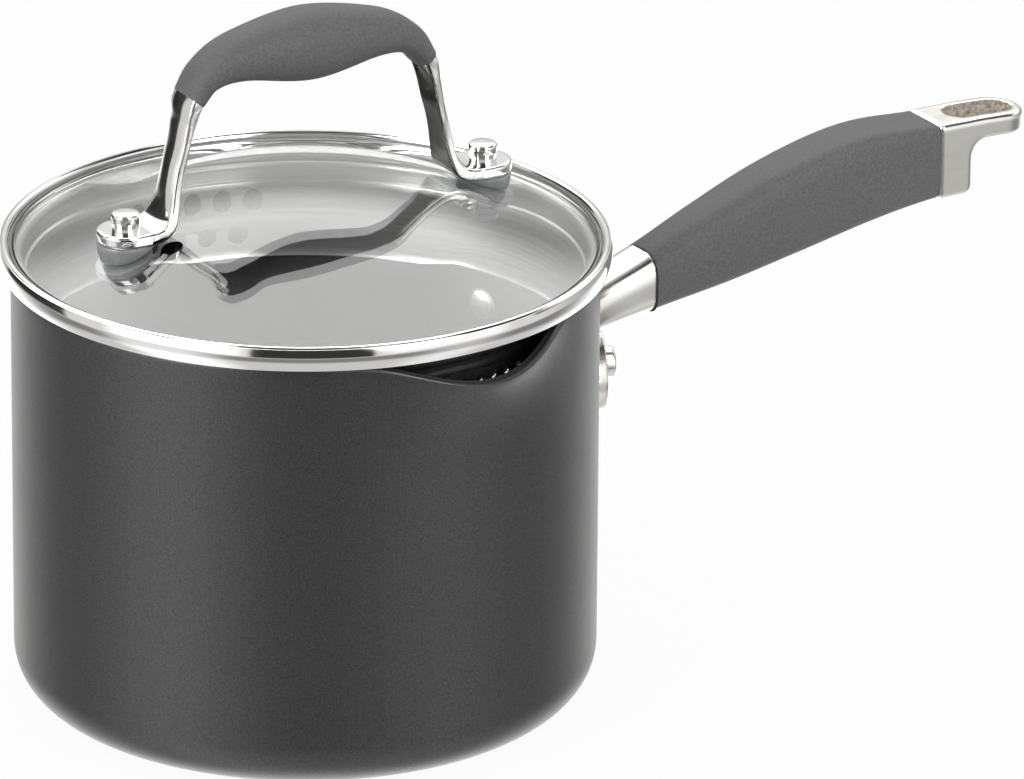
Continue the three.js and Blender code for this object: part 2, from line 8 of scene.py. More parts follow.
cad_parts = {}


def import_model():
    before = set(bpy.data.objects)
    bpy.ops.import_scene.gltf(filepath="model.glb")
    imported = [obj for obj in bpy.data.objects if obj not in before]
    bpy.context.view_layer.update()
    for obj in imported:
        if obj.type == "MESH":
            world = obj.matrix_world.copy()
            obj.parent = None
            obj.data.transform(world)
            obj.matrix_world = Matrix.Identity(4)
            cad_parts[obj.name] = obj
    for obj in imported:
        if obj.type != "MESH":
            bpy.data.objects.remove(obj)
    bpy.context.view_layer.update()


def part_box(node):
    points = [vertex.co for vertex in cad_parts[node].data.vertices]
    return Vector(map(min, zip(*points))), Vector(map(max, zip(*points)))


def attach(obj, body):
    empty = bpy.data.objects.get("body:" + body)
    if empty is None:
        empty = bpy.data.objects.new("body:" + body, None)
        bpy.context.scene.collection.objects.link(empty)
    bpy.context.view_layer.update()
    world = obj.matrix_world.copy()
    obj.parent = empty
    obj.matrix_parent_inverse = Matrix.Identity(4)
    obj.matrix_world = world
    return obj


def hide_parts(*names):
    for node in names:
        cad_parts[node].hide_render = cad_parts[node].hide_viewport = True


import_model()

# ------------------------------------------------------------------ sizes, in millimetres
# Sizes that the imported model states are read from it; the others are written here.

MM = 0.001
X, Z = 0, 2


def span(node, axis):
    """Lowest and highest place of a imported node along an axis, in millimetres."""
    low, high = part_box(node)
    return low[axis] / MM, high[axis] / MM


CLEARANCE = 0.3

# Pan: its two spouts lie opposite each other, at angles in degrees from +X.
PAN_RADIUS = span("pan_body", X)[1]
PAN_HEIGHT = span("pan_body", Z)[1]
WALL = 2.7
FLOOR_THICKNESS = 4.2
BASE_CORNER = 14
FLOOR_CORNER = 13
SPOUT_ANGLE = -84.5
SPOUT_HALF_ANGLE = 28
SPOUT_DROP = 7.2
SPOUT_BULGE = 7.3
SPOUT_FLARE = 2.4
SPOUT_REACH_DOWN = 38
SPOUT_LIP = 2.2
SPOUT_LIP_DEPTH = 6

# Long handle: the bracket's plate with its rivets, the grip and the end cap.
RIVET_HEIGHT = sum(span("handle_rivet_left", Z)) / 2
RIVET_ANGLE = 18.5
RIVET_SHANK = 2.7
RIVET_DOME = 2.2
RIVET_HEAD_HEIGHT = 3
PLATE_INNER = PAN_RADIUS + CLEARANCE
PLATE_THICKNESS = 3
PLATE_HEIGHT = 24.5
PLATE_DROP = 3.2
PLATE_MARGIN = 9.5

NECK_END = span("handle_grip", X)[0] - CLEARANCE
GRIP_END = span("handle_grip", X)[1] + CLEARANCE
CAP_END = span("handle_end_cap", X)[1]
CAP_TOP = span("handle_end_cap", Z)[1]
CAP_BOTTOM = span("handle_end_cap", Z)[0]
CAP_WIDTH = 16.6
CAP_PLATE = 6.9
CAP_TIP = 6.2
CAP_TIP_DROP = 1.4
CAP_LUG = 11
CAP_FILLET = 4.5
CAP_CORNER = 2.6
CAP_LEVEL = 15
CAP_ROUNDING = 1.5
SLOT_LENGTH = 21.2
SLOT_WIDTH = 10.2
SLOT_MARGIN = 6.9

# Lid: a rolled bead on a flared band holds the glass and the skirt.
LID_TURN = math.radians(-2.5)
HOOP_BOTTOM, HOOP_TOP = span("lid_rim_hoop", Z)
BEAD_RADIUS = 1.4
BEAD_CIRCLE = PAN_RADIUS + 2
BAND_RADIUS = BEAD_CIRCLE + 1.2
BAND_HEM = 0.5
BAND_BULGE = 7.8
HOOP_SHEET = 0.6
HOOP_INNER = BEAD_CIRCLE - 1.4
HOOP_LIP = HOOP_INNER - 1.6
GLASS_EDGE = HOOP_TOP - BEAD_RADIUS
GLASS_THICKNESS = 3.5
GLASS_RADIUS = HOOP_INNER - 1.1
GLASS_BEVEL = 0.35
SEAL_WIDTH = 0.6
CROWN_ARC = 155
CROWN_RADIUS = 50
BRIM_BEND = 454
BRIM_SLOPE = math.radians(15.2)
VENT_RADIUS = 2.85
VENT_REACH = 45.1
VENT_OFFSET = 9.4
RIVET_HOLE = 2.6

# Strainer skirt: a collar that fits the pan, a shoulder and a sheet with rows of holes.
SKIRT_BOTTOM, SKIRT_TOP = span("strainer_skirt", Z)
SHEET = 0.5
COLLAR_RADIUS = PAN_RADIUS - WALL - 0.8
SKIRT_RADIUS = COLLAR_RADIUS - 0.9
COLLAR_DEPTH = 4.6
# Shared sizes of each pattern, then columns, depth below the flange and stretch of each row.
LARGE_HOLES = dict(Radius=2.7, Pitch=6.7, Middle=89)
LARGE_ROWS = ((6, 10.7, 1.2), (5, 20.6, 1))
SMALL_HOLES = dict(Radius=1.05, Pitch=3.6, Middle=-90)
SMALL_ROWS = ((12, 12, 1), (11, 16.5, 1), (12, 21, 1))
CUTTER_LENGTH = 8

# Lid handle: heights of the leg and the arch are above the glass's edge.
FOOT_REACH = 53.8
FOOT_RADIUS = 7.8
FOOT_PAD_RADIUS = 7.7
FOOT_PAD_SETBACK = 7
FOOT_THICKNESS = 3.4
FOOT_TOP = GLASS_EDGE + 13.6
FOOT_BOTTOM = FOOT_TOP - FOOT_THICKNESS
LEG_REACH = 38.4
LEG_TOP = (34.9, 46.5)
ARCH_CORNER = (30, 52.3)
ARCH_SHOULDER = (20, 55.6)
ARCH_RISE = 55.9
LID_RIVET_HEAD = 3.9
LID_RIVET_SHANK = 2.3

RING_STEPS = 240
HOOP_STEPS = 288


# ------------------------------------------------------------------ mesh helpers

def new_piece(name, points, faces, materials, sharp=35):
    """A mesh object from points in millimetres, with soft shading up to an angle."""
    mesh = bpy.data.meshes.new(name)
    mesh.from_pydata([Vector(p) * MM for p in points], [], faces)
    for material in materials:
        mesh.materials.append(material)
    mesh.validate()
    piece = bpy.data.objects.new(name, mesh)
    bpy.context.scene.collection.objects.link(piece)
    soften(piece, sharp)
    return piece


def soften(piece, sharp=35):
    """Soft shading but for edges that turn by more than an angle."""
    piece.data.shade_smooth()
    piece.data.set_sharp_from_angle(angle=math.radians(sharp))


def arc(centre, radius, start, end, steps=8):
    """Points on an arc, both ends included; angles in degrees."""
    angles = [math.radians(start + (end - start) * i / steps) for i in range(steps + 1)]
    return [(centre[0] + radius * math.cos(a), centre[1] + radius * math.sin(a)) for a in angles]


def within(value, low=0, high=1):
    """A value kept between two limits."""
    return min(max(value, low), high)


def between(start, end, steps):
    """Points on a straight line, both ends left out."""
    return [tuple(a + (b - a) * i / steps for a, b in zip(start, end)) for i in range(1, steps)]


def turned(outline, steps=RING_STEPS):
    """Points and faces of an outline of (radius, height) turned about Z. An outline that
    starts and ends on the axis is closed by its poles, any other by its last stretch."""
    on_axis = outline[0][0] < 1e-6
    ring = outline[1:-1] if on_axis else outline
    points = []
    for i in range(steps):
        angle = 2 * math.pi * i / steps
        points += [(r * math.cos(angle), r * math.sin(angle), z) for r, z in ring]
    count = len(ring)
    faces = []
    for i in range(steps):
        a, b = i * count, ((i + 1) % steps) * count
        for j in range(count - 1 if on_axis else count):
            k = (j + 1) % count
            faces.append((a + j, b + j, b + k, a + k))
    if on_axis:
        first, last = len(points), len(points) + 1
        points += [(0, 0, outline[0][1]), (0, 0, outline[-1][1])]
        for i in range(steps):
            a, b = i * count, ((i + 1) % steps) * count
            faces.append((first, b, a))
            faces.append((last, a + count - 1, b + count - 1))
    return points, faces


def lofted(rings):
    """Points and faces of a closed skin over rings of equal counts, capped at both ends."""
    count = len(rings[0])
    points = [p for ring in rings for p in ring]
    faces = [tuple(reversed(range(count)))]
    for i in range(len(rings) - 1):
        for j in range(count):
            k = (j + 1) % count
            faces.append((i * count + j, i * count + k, (i + 1) * count + k, (i + 1) * count + j))
    faces.append(tuple(range(len(points) - count, len(points))))
    return points, faces


def catmull(values, t):
    """A smooth value through a list of equal-length tuples, t from 0 to 1."""
    place = within(t) * (len(values) - 1)
    i = min(int(place), len(values) - 2)
    u = place - i
    a, b = values[i], values[i + 1]
    before = values[i - 1] if i > 0 else tuple(2 * p - q for p, q in zip(a, b))
    after = values[i + 2] if i + 2 < len(values) else tuple(2 * q - p for p, q in zip(a, b))
    return tuple(
        0.5 * (2 * p + (q - o) * u + (2 * o - 5 * p + 4 * q - n) * u ** 2
               + (3 * p - o - 3 * q + n) * u ** 3)
        for o, p, q, n in zip(before, a, b, after))


def swept(stations, section, steps):
    """Rings of a bar along stations (x, z, sizes...) in the XZ plane. The section gives
    (across, aside) points from the sizes: across is up for a bar that runs along +X."""
    rings = []
    for i in range(steps + 1):
        t = i / steps
        x, z, *sizes = catmull(stations, t)
        ahead, behind = catmull(stations, t + 0.5 / steps), catmull(stations, t - 0.5 / steps)
        tangent = Vector((ahead[0] - behind[0], ahead[1] - behind[1])).normalized()
        rings.append([
            (x - tangent.y * across, aside, z + tangent.x * across)
            for across, aside in section(*sizes)])
    return rings


def superellipse(half_height, half_width, power, count=48):
    """An oval that turns into a box as its power grows."""
    def soft(value):
        return math.copysign(abs(value) ** (2 / power) if abs(value) > 1e-9 else 0, value)
    angles = [2 * math.pi * i / count for i in range(count)]
    return [(half_height * soft(math.cos(a)), half_width * soft(math.sin(a))) for a in angles]


def outward(piece):
    """Merges doubled points, then turns every face outwards."""
    work = bmesh.new()
    work.from_mesh(piece.data)
    bmesh.ops.remove_doubles(work, verts=work.verts, dist=1e-6)
    bmesh.ops.recalc_face_normals(work, faces=work.faces)
    work.to_mesh(piece.data)
    work.free()
    return piece


def apply_modifiers(piece):
    """Makes the evaluated mesh the piece's own mesh."""
    graph = bpy.context.evaluated_depsgraph_get()
    mesh = bpy.data.meshes.new_from_object(piece.evaluated_get(graph))
    piece.modifiers.clear()
    old = piece.data
    piece.data = mesh
    bpy.data.meshes.remove(old)
    return piece


def combine(piece, tool, operation):
    """Joins or cuts a piece with a tool, and removes the tool."""
    change = piece.modifiers.new(operation, "BOOLEAN")
    change.operation = operation
    change.object = tool
    change.solver = "EXACT"
    apply_modifiers(piece)
    bpy.data.objects.remove(tool)
    return piece


def cast(piece, voxel, rounds):
    """Rounds every edge and inner corner of a piece, as a casting has them."""
    remesh = piece.modifiers.new("skin", "REMESH")
    remesh.mode = "VOXEL"
    remesh.voxel_size = voxel * MM
    smooth = piece.modifiers.new("smooth", "SMOOTH")
    smooth.factor = 0.5
    smooth.iterations = rounds
    return apply_modifiers(piece)


def dress(piece, *materials):
    """Gives a piece its materials anew."""
    piece.data.materials.clear()
    for material in materials:
        piece.data.materials.append(material)


def with_lid(point):
    """A point of the lid's own frame, turned as the lid is."""
    x, y, z = point
    c, s = math.cos(LID_TURN), math.sin(LID_TURN)
    return (x * c - y * s, x * s + y * c, z)


def rod(radius, bottom, top, steps=48):
    """Points and faces of a round bar about Z."""
    return turned([(0, bottom), (radius, bottom), (radius, top), (0, top)], steps)


def finish_piece(piece, body, slot, *nodes):
    """Puts a piece on its body and hides the nodes that it stands for; its slot is not used."""
    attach(piece, body)
    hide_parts(*nodes)
    return piece


# ------------------------------------------------------------------ material helpers

def new_material(name):
    """An empty node material: (material, nodes, links, principled shader)."""
    material = bpy.data.materials.new(name)
    material.use_nodes = True
    nodes, links = material.node_tree.nodes, material.node_tree.links
    return material, nodes, links, nodes["Principled BSDF"]


def node(tree, kind, **settings):
    """A new node of a tree with its settings."""
    made = tree.nodes.new(kind)
    for name, value in settings.items():
        setattr(made, name, value)
    return made


def math_node(tree, operation, a, b=0.0, **settings):
    """The result of a math node between two numbers or sockets."""
    made = node(tree, "ShaderNodeMath", operation=operation, **settings)
    for socket, item in zip(made.inputs, (a, b)):
        if isinstance(item, (int, float)):
            socket.default_value = item
        else:
            tree.links.new(item, socket)
    return made.outputs[0]


def grain_group():
    """Fine grain of a surface: a value about 0.5, for colours, roughness and bumps."""
    tree = bpy.data.node_groups.new("grain", "ShaderNodeTree")
    face = tree.interface
    face.new_socket("Vector", in_out="INPUT", socket_type="NodeSocketVector")
    scale = face.new_socket("Scale", in_out="INPUT", socket_type="NodeSocketFloat")
    scale.default_value = 1000
    contrast = face.new_socket("Contrast", in_out="INPUT", socket_type="NodeSocketFloat")
    contrast.default_value = 1
    face.new_socket("Value", in_out="OUTPUT", socket_type="NodeSocketFloat")
    inside, outside = node(tree, "NodeGroupInput"), node(tree, "NodeGroupOutput")
    noise = node(tree, "ShaderNodeTexNoise")
    noise.inputs["Detail"].default_value = 2
    noise.inputs["Roughness"].default_value = 0.6
    tree.links.new(inside.outputs["Vector"], noise.inputs["Vector"])
    tree.links.new(inside.outputs["Scale"], noise.inputs["Scale"])
    lowered = math_node(tree, "SUBTRACT", noise.outputs["Fac"], 0.5)
    scaled = math_node(tree, "MULTIPLY", lowered, inside.outputs["Contrast"])
    raised = math_node(tree, "ADD", scaled, 0.5, use_clamp=True)
    tree.links.new(raised, outside.inputs["Value"])
    return tree


GRAIN = grain_group()


def add_grain(material, scale, contrast, stretch=(1, 1, 1)):
    """A grain group placed in a material; returns its value socket."""
    tree = material.node_tree
    place = node(tree, "ShaderNodeTexCoord")
    mapping = node(tree, "ShaderNodeMapping")
    mapping.inputs["Scale"].default_value = stretch
    tree.links.new(place.outputs["Object"], mapping.inputs["Vector"])
    group = node(tree, "ShaderNodeGroup", node_tree=GRAIN)
    group.inputs["Scale"].default_value = scale
    group.inputs["Contrast"].default_value = contrast
    tree.links.new(mapping.outputs["Vector"], group.inputs["Vector"])
    return group.outputs["Value"]


def ranged(material, value, low, high):
    """A value from 0 to 1 spread between two numbers."""
    spread = node(material.node_tree, "ShaderNodeMapRange")
    spread.inputs["To Min"].default_value = low
    spread.inputs["To Max"].default_value = high
    material.node_tree.links.new(value, spread.inputs["Value"])
    return spread.outputs["Result"]


def mixed(material, value, low, high):
    """Two colours mixed by a value."""
    mix = node(material.node_tree, "ShaderNodeMix", data_type="RGBA")
    mix.inputs["A"].default_value = (*low, 1)
    mix.inputs["B"].default_value = (*high, 1)
    material.node_tree.links.new(value, mix.inputs["Factor"])
    return mix.outputs["Result"]


def bumped(material, shader, value, distance, strength):
    """Bumps on a shader: their height in millimetres and their strength."""
    bump = node(material.node_tree, "ShaderNodeBump")
    bump.inputs["Strength"].default_value = strength
    bump.inputs["Distance"].default_value = distance * MM
    material.node_tree.links.new(value, bump.inputs["Height"])
    material.node_tree.links.new(bump.outputs["Normal"], shader.inputs["Normal"])


def grained(name, grain, colours, roughness, bump, metallic=0, cloud=None):
    """A finish whose colour and bumps follow one grain, given as scale, contrast and stretch.
    Its roughness is a number, or a range that follows the grain or a coarser cloud.
    Returns (material, shader)."""
    material, _, links, shader = new_material(name)
    value = add_grain(material, *grain)
    links.new(mixed(material, value, *colours), shader.inputs["Base Color"])
    shader.inputs["Metallic"].default_value = metallic
    if isinstance(roughness, tuple):
        gloss = add_grain(material, *cloud) if cloud else value
        links.new(ranged(material, gloss, *roughness), shader.inputs["Roughness"])
    else:
        shader.inputs["Roughness"].default_value = roughness
    bumped(material, shader, value, *bump)
    return material, shader


# ------------------------------------------------------------------ finishes

def anodised_finish():
    """Hard-anodised aluminium: charcoal with a fine metallic sparkle and a cloudy gloss."""
    colours = ((0.067, 0.067, 0.067), (0.13, 0.13, 0.131))
    return grained("hard_anodised", (2600, 2.2), colours, (0.37, 0.42), (0.02, 0.5), 0.85,
                   cloud=(60, 1))[0]


def coating_finish():
    """Dark non-stick coating inside the pan."""
    colours = ((0.012, 0.012, 0.011), (0.03, 0.029, 0.028))
    return grained("inner_coating", (1800, 2.5), colours, (0.3, 0.42), (0.02, 0.4))[0]


def polished_finish(name, low, high):
    """Mirror-polished stainless steel with faint polishing marks."""
    return grained(name, (90, 1.4), (low, high), (0.05, 0.11), (0.02, 0.3), 1)[0]


def strap_face_painted_shade_finish():
    """The strap's outer faces: polished steel with painted shade, a little darker up the leg than at
    the foot.
    """
    material, _, links, shader = new_material("strap_outer_face_painted_shade")
    tree = material.node_tree
    haze = add_grain(material, 90, 1.4)
    place = node(tree, "ShaderNodeTexCoord")
    split = node(tree, "ShaderNodeSeparateXYZ")
    links.new(place.outputs["Object"], split.inputs["Vector"])
    # Painted shade: the steel's colour darkens from the foot up the leg.
    height = node(tree, "ShaderNodeMapRange", interpolation_type="SMOOTHSTEP")
    height.inputs["From Min"].default_value = (FOOT_TOP + 2) * MM
    height.inputs["From Max"].default_value = (FOOT_TOP + 8) * MM
    links.new(split.outputs["Z"], height.inputs["Value"])
    blend = node(tree, "ShaderNodeMix", data_type="RGBA")
    links.new(height.outputs["Result"], blend.inputs["Factor"])
    blend.inputs["A"].default_value = (0.8, 0.795, 0.785, 1)
    links.new(mixed(material, haze, (0.7, 0.695, 0.685), (0.82, 0.815, 0.805)), blend.inputs["B"])
    links.new(blend.outputs["Result"], shader.inputs["Base Color"])
    shader.inputs["Metallic"].default_value = 1
    links.new(ranged(material, haze, 0.07, 0.14), shader.inputs["Roughness"])
    bumped(material, shader, haze, 0.02, 0.3)
    return material


def cast_finish(name, smooth, rough):
    """Satin-polished cast steel of the long handle and its rivets."""
    grain = (260, 1.6, (0.25, 1, 1))
    colours = ((0.79, 0.765, 0.73), (0.86, 0.84, 0.81))
    return grained(name, grain, colours, (smooth, rough), (0.02, 0.4), 1)[0]


def raw_casting_finish():
    """Unpolished casting inside the hang slot: beige grey with dark pits."""
    colours = ((0.3, 0.26, 0.22), (0.62, 0.56, 0.5))
    return grained("raw_casting", (900, 3), colours, 0.6, (0.15, 0.8), 0.5)[0]


def brushed_finish(name, low, high, stretch, smooth, rough):
    """Stainless sheet brushed round the skirt, so that its highlights spread upwards."""
    grain = (900, 2.2, (0.02, 0.02, 1))
    material, shader = grained(name, grain, (low, high), (smooth, rough), (0.03, 0.5), 1)
    around = node(material.node_tree, "ShaderNodeTangent", direction_type="RADIAL", axis="Z")
    material.node_tree.links.new(around.outputs["Tangent"], shader.inputs["Tangent"])
    shader.inputs["Anisotropic"].default_value = stretch
    shader.inputs["Anisotropic Rotation"].default_value = 0.25
    return material


def rubber_finish():
    """Grey silicone of the grips with a fine sandy grain."""
    material, _, links, shader = new_material("grip_silicone")
    sand = add_grain(material, 1500, 2.6)
    cloud = add_grain(material, 45, 1)
    tone = math_node(material.node_tree, "MULTIPLY", sand, ranged(material, cloud, 0.8, 1.2))
    links.new(mixed(material, tone, (0.105, 0.105, 0.108), (0.16, 0.16, 0.164)),
              shader.inputs["Base Color"])
    links.new(ranged(material, sand, 0.5, 0.68), shader.inputs["Roughness"])
    shader.inputs["Specular IOR Level"].default_value = 0.3
    bumped(material, shader, sand, 0.05, 0.7)
    return material


def seal_finish(name, low, high, rough):
    """Dull grey of the pads, the gasket, the washers and the rivets' undersides."""
    return grained(name, (1300, 2), (low, high), rough, (0.03, 0.4))[0]


def glass_finish():
    """Clear tempered glass that lets lamplight through to what is below it."""
    material, nodes, links, shader = new_material("tempered_glass")
    tree = material.node_tree
    streaks = add_grain(material, 25, 1)
    links.new(mixed(material, streaks, (0.955, 0.975, 0.97), (0.98, 0.99, 0.985)),
              shader.inputs["Base Color"])
    shader.inputs["Metallic"].default_value = 0
    shader.inputs["Transmission Weight"].default_value = 1
    shader.inputs["IOR"].default_value = 1.5
    shader.inputs["Specular IOR Level"].default_value = 1
    shader.inputs["Roughness"].default_value = 0
    path = node(tree, "ShaderNodeLightPath")
    clear = node(tree, "ShaderNodeBsdfTransparent")
    clear.inputs["Color"].default_value = (0.86, 0.88, 0.87, 1)
    mix = node(tree, "ShaderNodeMixShader")
    links.new(path.outputs["Is Shadow Ray"], mix.inputs["Fac"])
    links.new(shader.outputs["BSDF"], mix.inputs[1])
    links.new(clear.outputs["BSDF"], mix.inputs[2])
    links.new(mix.outputs["Shader"], nodes["Material Output"].inputs["Surface"])
    return material


ANODISED = anodised_finish()
COATING = coating_finish()
POLISHED = polished_finish("polished_steel", (0.86, 0.855, 0.84), (0.9, 0.895, 0.885))
# A darker copy of the polished steel: painted shade on the strap legs' inner faces.
PAINTED_SHADE_STEEL = polished_finish("strap_inner_face_painted_shade", (0.2, 0.195, 0.19), (0.34, 0.335, 0.33))
OUTER_FACE_PAINTED_SHADE = strap_face_painted_shade_finish()
CAST = cast_finish("satin_cast_steel", 0.18, 0.27)
RAW_CASTING = raw_casting_finish()
BRUSHED = brushed_finish("brushed_steel", (0.42, 0.42, 0.415), (0.57, 0.57, 0.565), 0.85, 0.27, 0.37)
# A darker copy of the brushed steel: painted shade on the skirt's outward faces.
PAINTED_SHADE_SHEET = brushed_finish("brushed_outside_painted_shade", (0.3, 0.3, 0.31), (0.42, 0.42, 0.43), 0.3, 0.25, 0.35)
RUBBER = rubber_finish()
SEAL = seal_finish("seal_silicone", (0.25, 0.26, 0.27), (0.34, 0.35, 0.36), 0.25)
DULL = seal_finish("dull_underside", (0.2, 0.2, 0.2), (0.27, 0.27, 0.27), 0.4)
SATIN = cast_finish("satin_rivet_dome", 0.42, 0.5)
GLASS = glass_finish()


# ------------------------------------------------------------------ pan

def spout_weight(angle):
    """How strongly a spout shapes the rim at an angle in degrees."""
    off = (angle - SPOUT_ANGLE + 90) % 180 - 90
    return math.cos(off / SPOUT_HALF_ANGLE * math.pi / 2) ** 2 if abs(off) < SPOUT_HALF_ANGLE else 0


def press_spout(point):
    """Moves a point of the pan out and down where a spout is pressed into the rim, which
    gets thicker inwards there."""
    x, y, z = point
    radius = math.hypot(x, y)
    near_wall = radius > PAN_RADIUS - 2 * WALL
    weight = spout_weight(math.degrees(math.atan2(y, x))) if near_wall else 0
    height = within((z - PAN_HEIGHT + SPOUT_REACH_DOWN) / SPOUT_REACH_DOWN)
    lip = within((z - PAN_HEIGHT + SPOUT_LIP_DEPTH) / SPOUT_LIP_DEPTH) ** 2
    inward = SPOUT_LIP * weight * lip * within((PAN_RADIUS - radius) / WALL)
    stretch = 1 + (SPOUT_BULGE * weight * height ** SPOUT_FLARE - inward) / max(radius, 1)
    return (x * stretch, y * stretch, z - SPOUT_DROP * weight * height ** 2)


def pan_body():
    """The vessel: up the outside to the rim, then down the inside, which is coated."""
    inner = PAN_RADIUS - WALL
    base, floor_edge = PAN_RADIUS - BASE_CORNER, inner - FLOOR_CORNER
    lip = WALL / 2
    wall_top, inner_bottom = PAN_HEIGHT - lip, FLOOR_THICKNESS + FLOOR_CORNER
    outside = [(0, 0), *between((0, 0), (base, 0), 6)]
    outside += arc((base, BASE_CORNER), BASE_CORNER, -90, 0, 16)
    outside += between((PAN_RADIUS, BASE_CORNER), (PAN_RADIUS, wall_top), 40)
    outside += arc((PAN_RADIUS - lip, wall_top), lip, 0, 90, 5)
    inside = arc((PAN_RADIUS - lip, wall_top), lip, 90, 180, 5)[1:]
    inside += between((inner, wall_top), (inner, inner_bottom), 40)
    inside += arc((floor_edge, inner_bottom), FLOOR_CORNER, 0, -90, 12)
    inside += between((floor_edge, FLOOR_THICKNESS), (0, FLOOR_THICKNESS), 6)
    inside += [(0, FLOOR_THICKNESS)]
    points, faces = turned(outside + inside)
    piece = new_piece("pan_shell", [press_spout(p) for p in points], faces, [ANODISED, COATING])
    count = len(outside) + len(inside) - 2
    coated_from = len(outside) + 3
    for face in piece.data.polygons:
        rows = [v % count for v in face.vertices if v < count * RING_STEPS]
        face.material_index = 1 if min(rows) >= coated_from else 0
    return finish_piece(piece, "pan", "anodised_aluminium", "pan_body")


# ------------------------------------------------------------------ long handle

# Along the long handle: reach, height above the rivet axis, half height and half width,
# and how square the section is at its lower and upper edges.
HANDLE_STATIONS = [
    (PAN_RADIUS + PLATE_THICKNESS, 4.4, 5.6, 15, 3.4, 3.4),
    (PAN_RADIUS + 9.3, 5.75, 6.4, 9.2, 3.2, 3.0),
    (NECK_END, 9.8, 8.1, 8.5, 3.2, 2.9),
    (NECK_END + 22.5, 15.85, 10.95, 9.3, 3.6, 3.2),
    (NECK_END + 45, 21.9, 12.6, 10, 4.0, 3.8),
    (NECK_END + 69, 26.5, 12.7, 9.6, 4.6, 5.2),
    (GRIP_END, 27.2, 10.9, 8.7, 5.0, 8.0),
    (GRIP_END + 19, 27.2, 10.9, 8.7, 5.0, 8.0),
]


def handle_section(half_height, half_width, lower_power, upper_power):
    """Section of the long handle, squarer above than below at its outer end."""
    upper = superellipse(half_height, half_width, upper_power, 96)
    lower = superellipse(half_height, half_width, lower_power, 96)
    return [u if u[0] >= 0 else l for u, l in zip(upper, lower)]


def handle_rings(start, end, steps):
    """Rings of the handle's outer form between two reaches."""
    stations = [(x, RIVET_HEIGHT + rise, *sizes) for x, rise, *sizes in HANDLE_STATIONS]
    rings = swept(stations, handle_section, steps)
    middle = [sum(p[0] for p in ring) / len(ring) for ring in rings]
    return [ring for ring, x in zip(rings, middle) if start <= x <= end]


def clipped(rings, start, end):
    """Rings with every point kept between two planes across X."""
    return [[(within(x, start, end), y, z) for x, y, z in ring] for ring in rings]


def handle_grip():
    """The silicone sleeve; its ends are rings from just beyond, pressed flat."""
    start, end, beyond = NECK_END + CLEARANCE, GRIP_END - CLEARANCE, 6
    rings = clipped(handle_rings(start - beyond, end + beyond, 260), start, end)
    piece = outward(new_piece("long_handle_grip", *lofted(rings), [RUBBER]))
    soften(piece)
    return finish_piece(piece, "pan", "handle_rubber", "handle_grip")


def upright_block(name, outline):
    """A tool over a flat outline (x, y), from the ground to above everything."""
    rings = [[(x, y, z) for x, y in outline] for z in (0, 2 * PAN_HEIGHT)]
    return outward(new_piece(name, *lofted(rings), [CAST]))


def stadium(start, end, radius, steps=24):
    """A long outline with round ends, anticlockwise."""
    far_end = arc((end - radius, 0), radius, -90, 90, steps)
    return far_end + arc((start + radius, 0), radius, 90, 270, steps)


def bracket():
    """The bracket's casting: a plate on the wall and the neck that rises from it."""
    half = PLATE_INNER * math.sin(math.radians(RIVET_ANGLE)) + PLATE_MARGIN
    plate = outward(new_piece("plate", *curved_plate(half, RIVET_HEIGHT - PLATE_DROP, 60), [CAST]))
    neck_root, beyond = PAN_RADIUS + 1.5, 4
    rings = clipped(handle_rings(0, NECK_END + beyond, 200), neck_root, NECK_END)
    neck = outward(new_piece("neck", *lofted(rings), [CAST]))
    combine(plate, neck, "UNION")
    cast(plate, 0.45, 5)
    dress(plate, CAST)
    plate.data.shade_smooth()
    plate.name = "handle_bracket_casting"
    return finish_piece(plate, "pan", "cast_steel", "handle_bracket")


def curved_plate(half, middle, columns):
    """A plate with round ends that follows the pan's wall and all but touches it."""
    radius = PLATE_HEIGHT / 2
    inner, outer = PLATE_INNER - 0.25, PLATE_INNER + PLATE_THICKNESS
    least = 0.2
    rings = []
    for i in range(columns + 1):
        y = -half * math.cos(math.pi * i / columns)
        beyond = max(abs(y) - (half - radius), 0)
        rise = math.sqrt(max(radius ** 2 - beyond ** 2, least ** 2))
        corners = ((inner, -rise), (inner, rise), (outer, rise), (outer, -rise))
        rings.append([(math.sqrt(reach ** 2 - y ** 2), y, middle + up) for reach, up in corners])
    return lofted(rings)


def cap_block():
    """The end cap before its slot: its side view crossed with its plan, with round edges."""
    underside = CAP_TOP - CAP_PLATE
    lug_end, beyond_tip = GRIP_END + CAP_LUG, CAP_END + 2
    tip_top = CAP_TOP - CAP_TIP_DROP
    side = [
        (GRIP_END, CAP_BOTTOM),
        *arc((lug_end - CAP_CORNER, CAP_BOTTOM + CAP_CORNER), CAP_CORNER, -90, 0, 6),
        *arc((lug_end + CAP_FILLET, underside - CAP_FILLET), CAP_FILLET, 180, 90, 8),
        (beyond_tip, tip_top - CAP_TIP), (beyond_tip, tip_top),
        (GRIP_END + CAP_LEVEL, CAP_TOP - CAP_TIP_DROP / 4), (GRIP_END, CAP_TOP)]
    half, margin = CAP_WIDTH / 2, 1
    rings = [[(x, y, z) for x, z in side] for y in (-half - margin, half + margin)]
    cap = outward(new_piece("end_cap", *lofted(rings), [CAST]))
    plan = stadium(GRIP_END - CAP_WIDTH, CAP_END, half)
    combine(cap, upright_block("plan", plan), "INTERSECT")
    rounding = cap.modifiers.new("rounding", "BEVEL")
    rounding.width = CAP_ROUNDING * MM
    rounding.segments = 4
    rounding.limit_method = "ANGLE"
    rounding.angle_limit = math.radians(40)
    return apply_modifiers(cap)


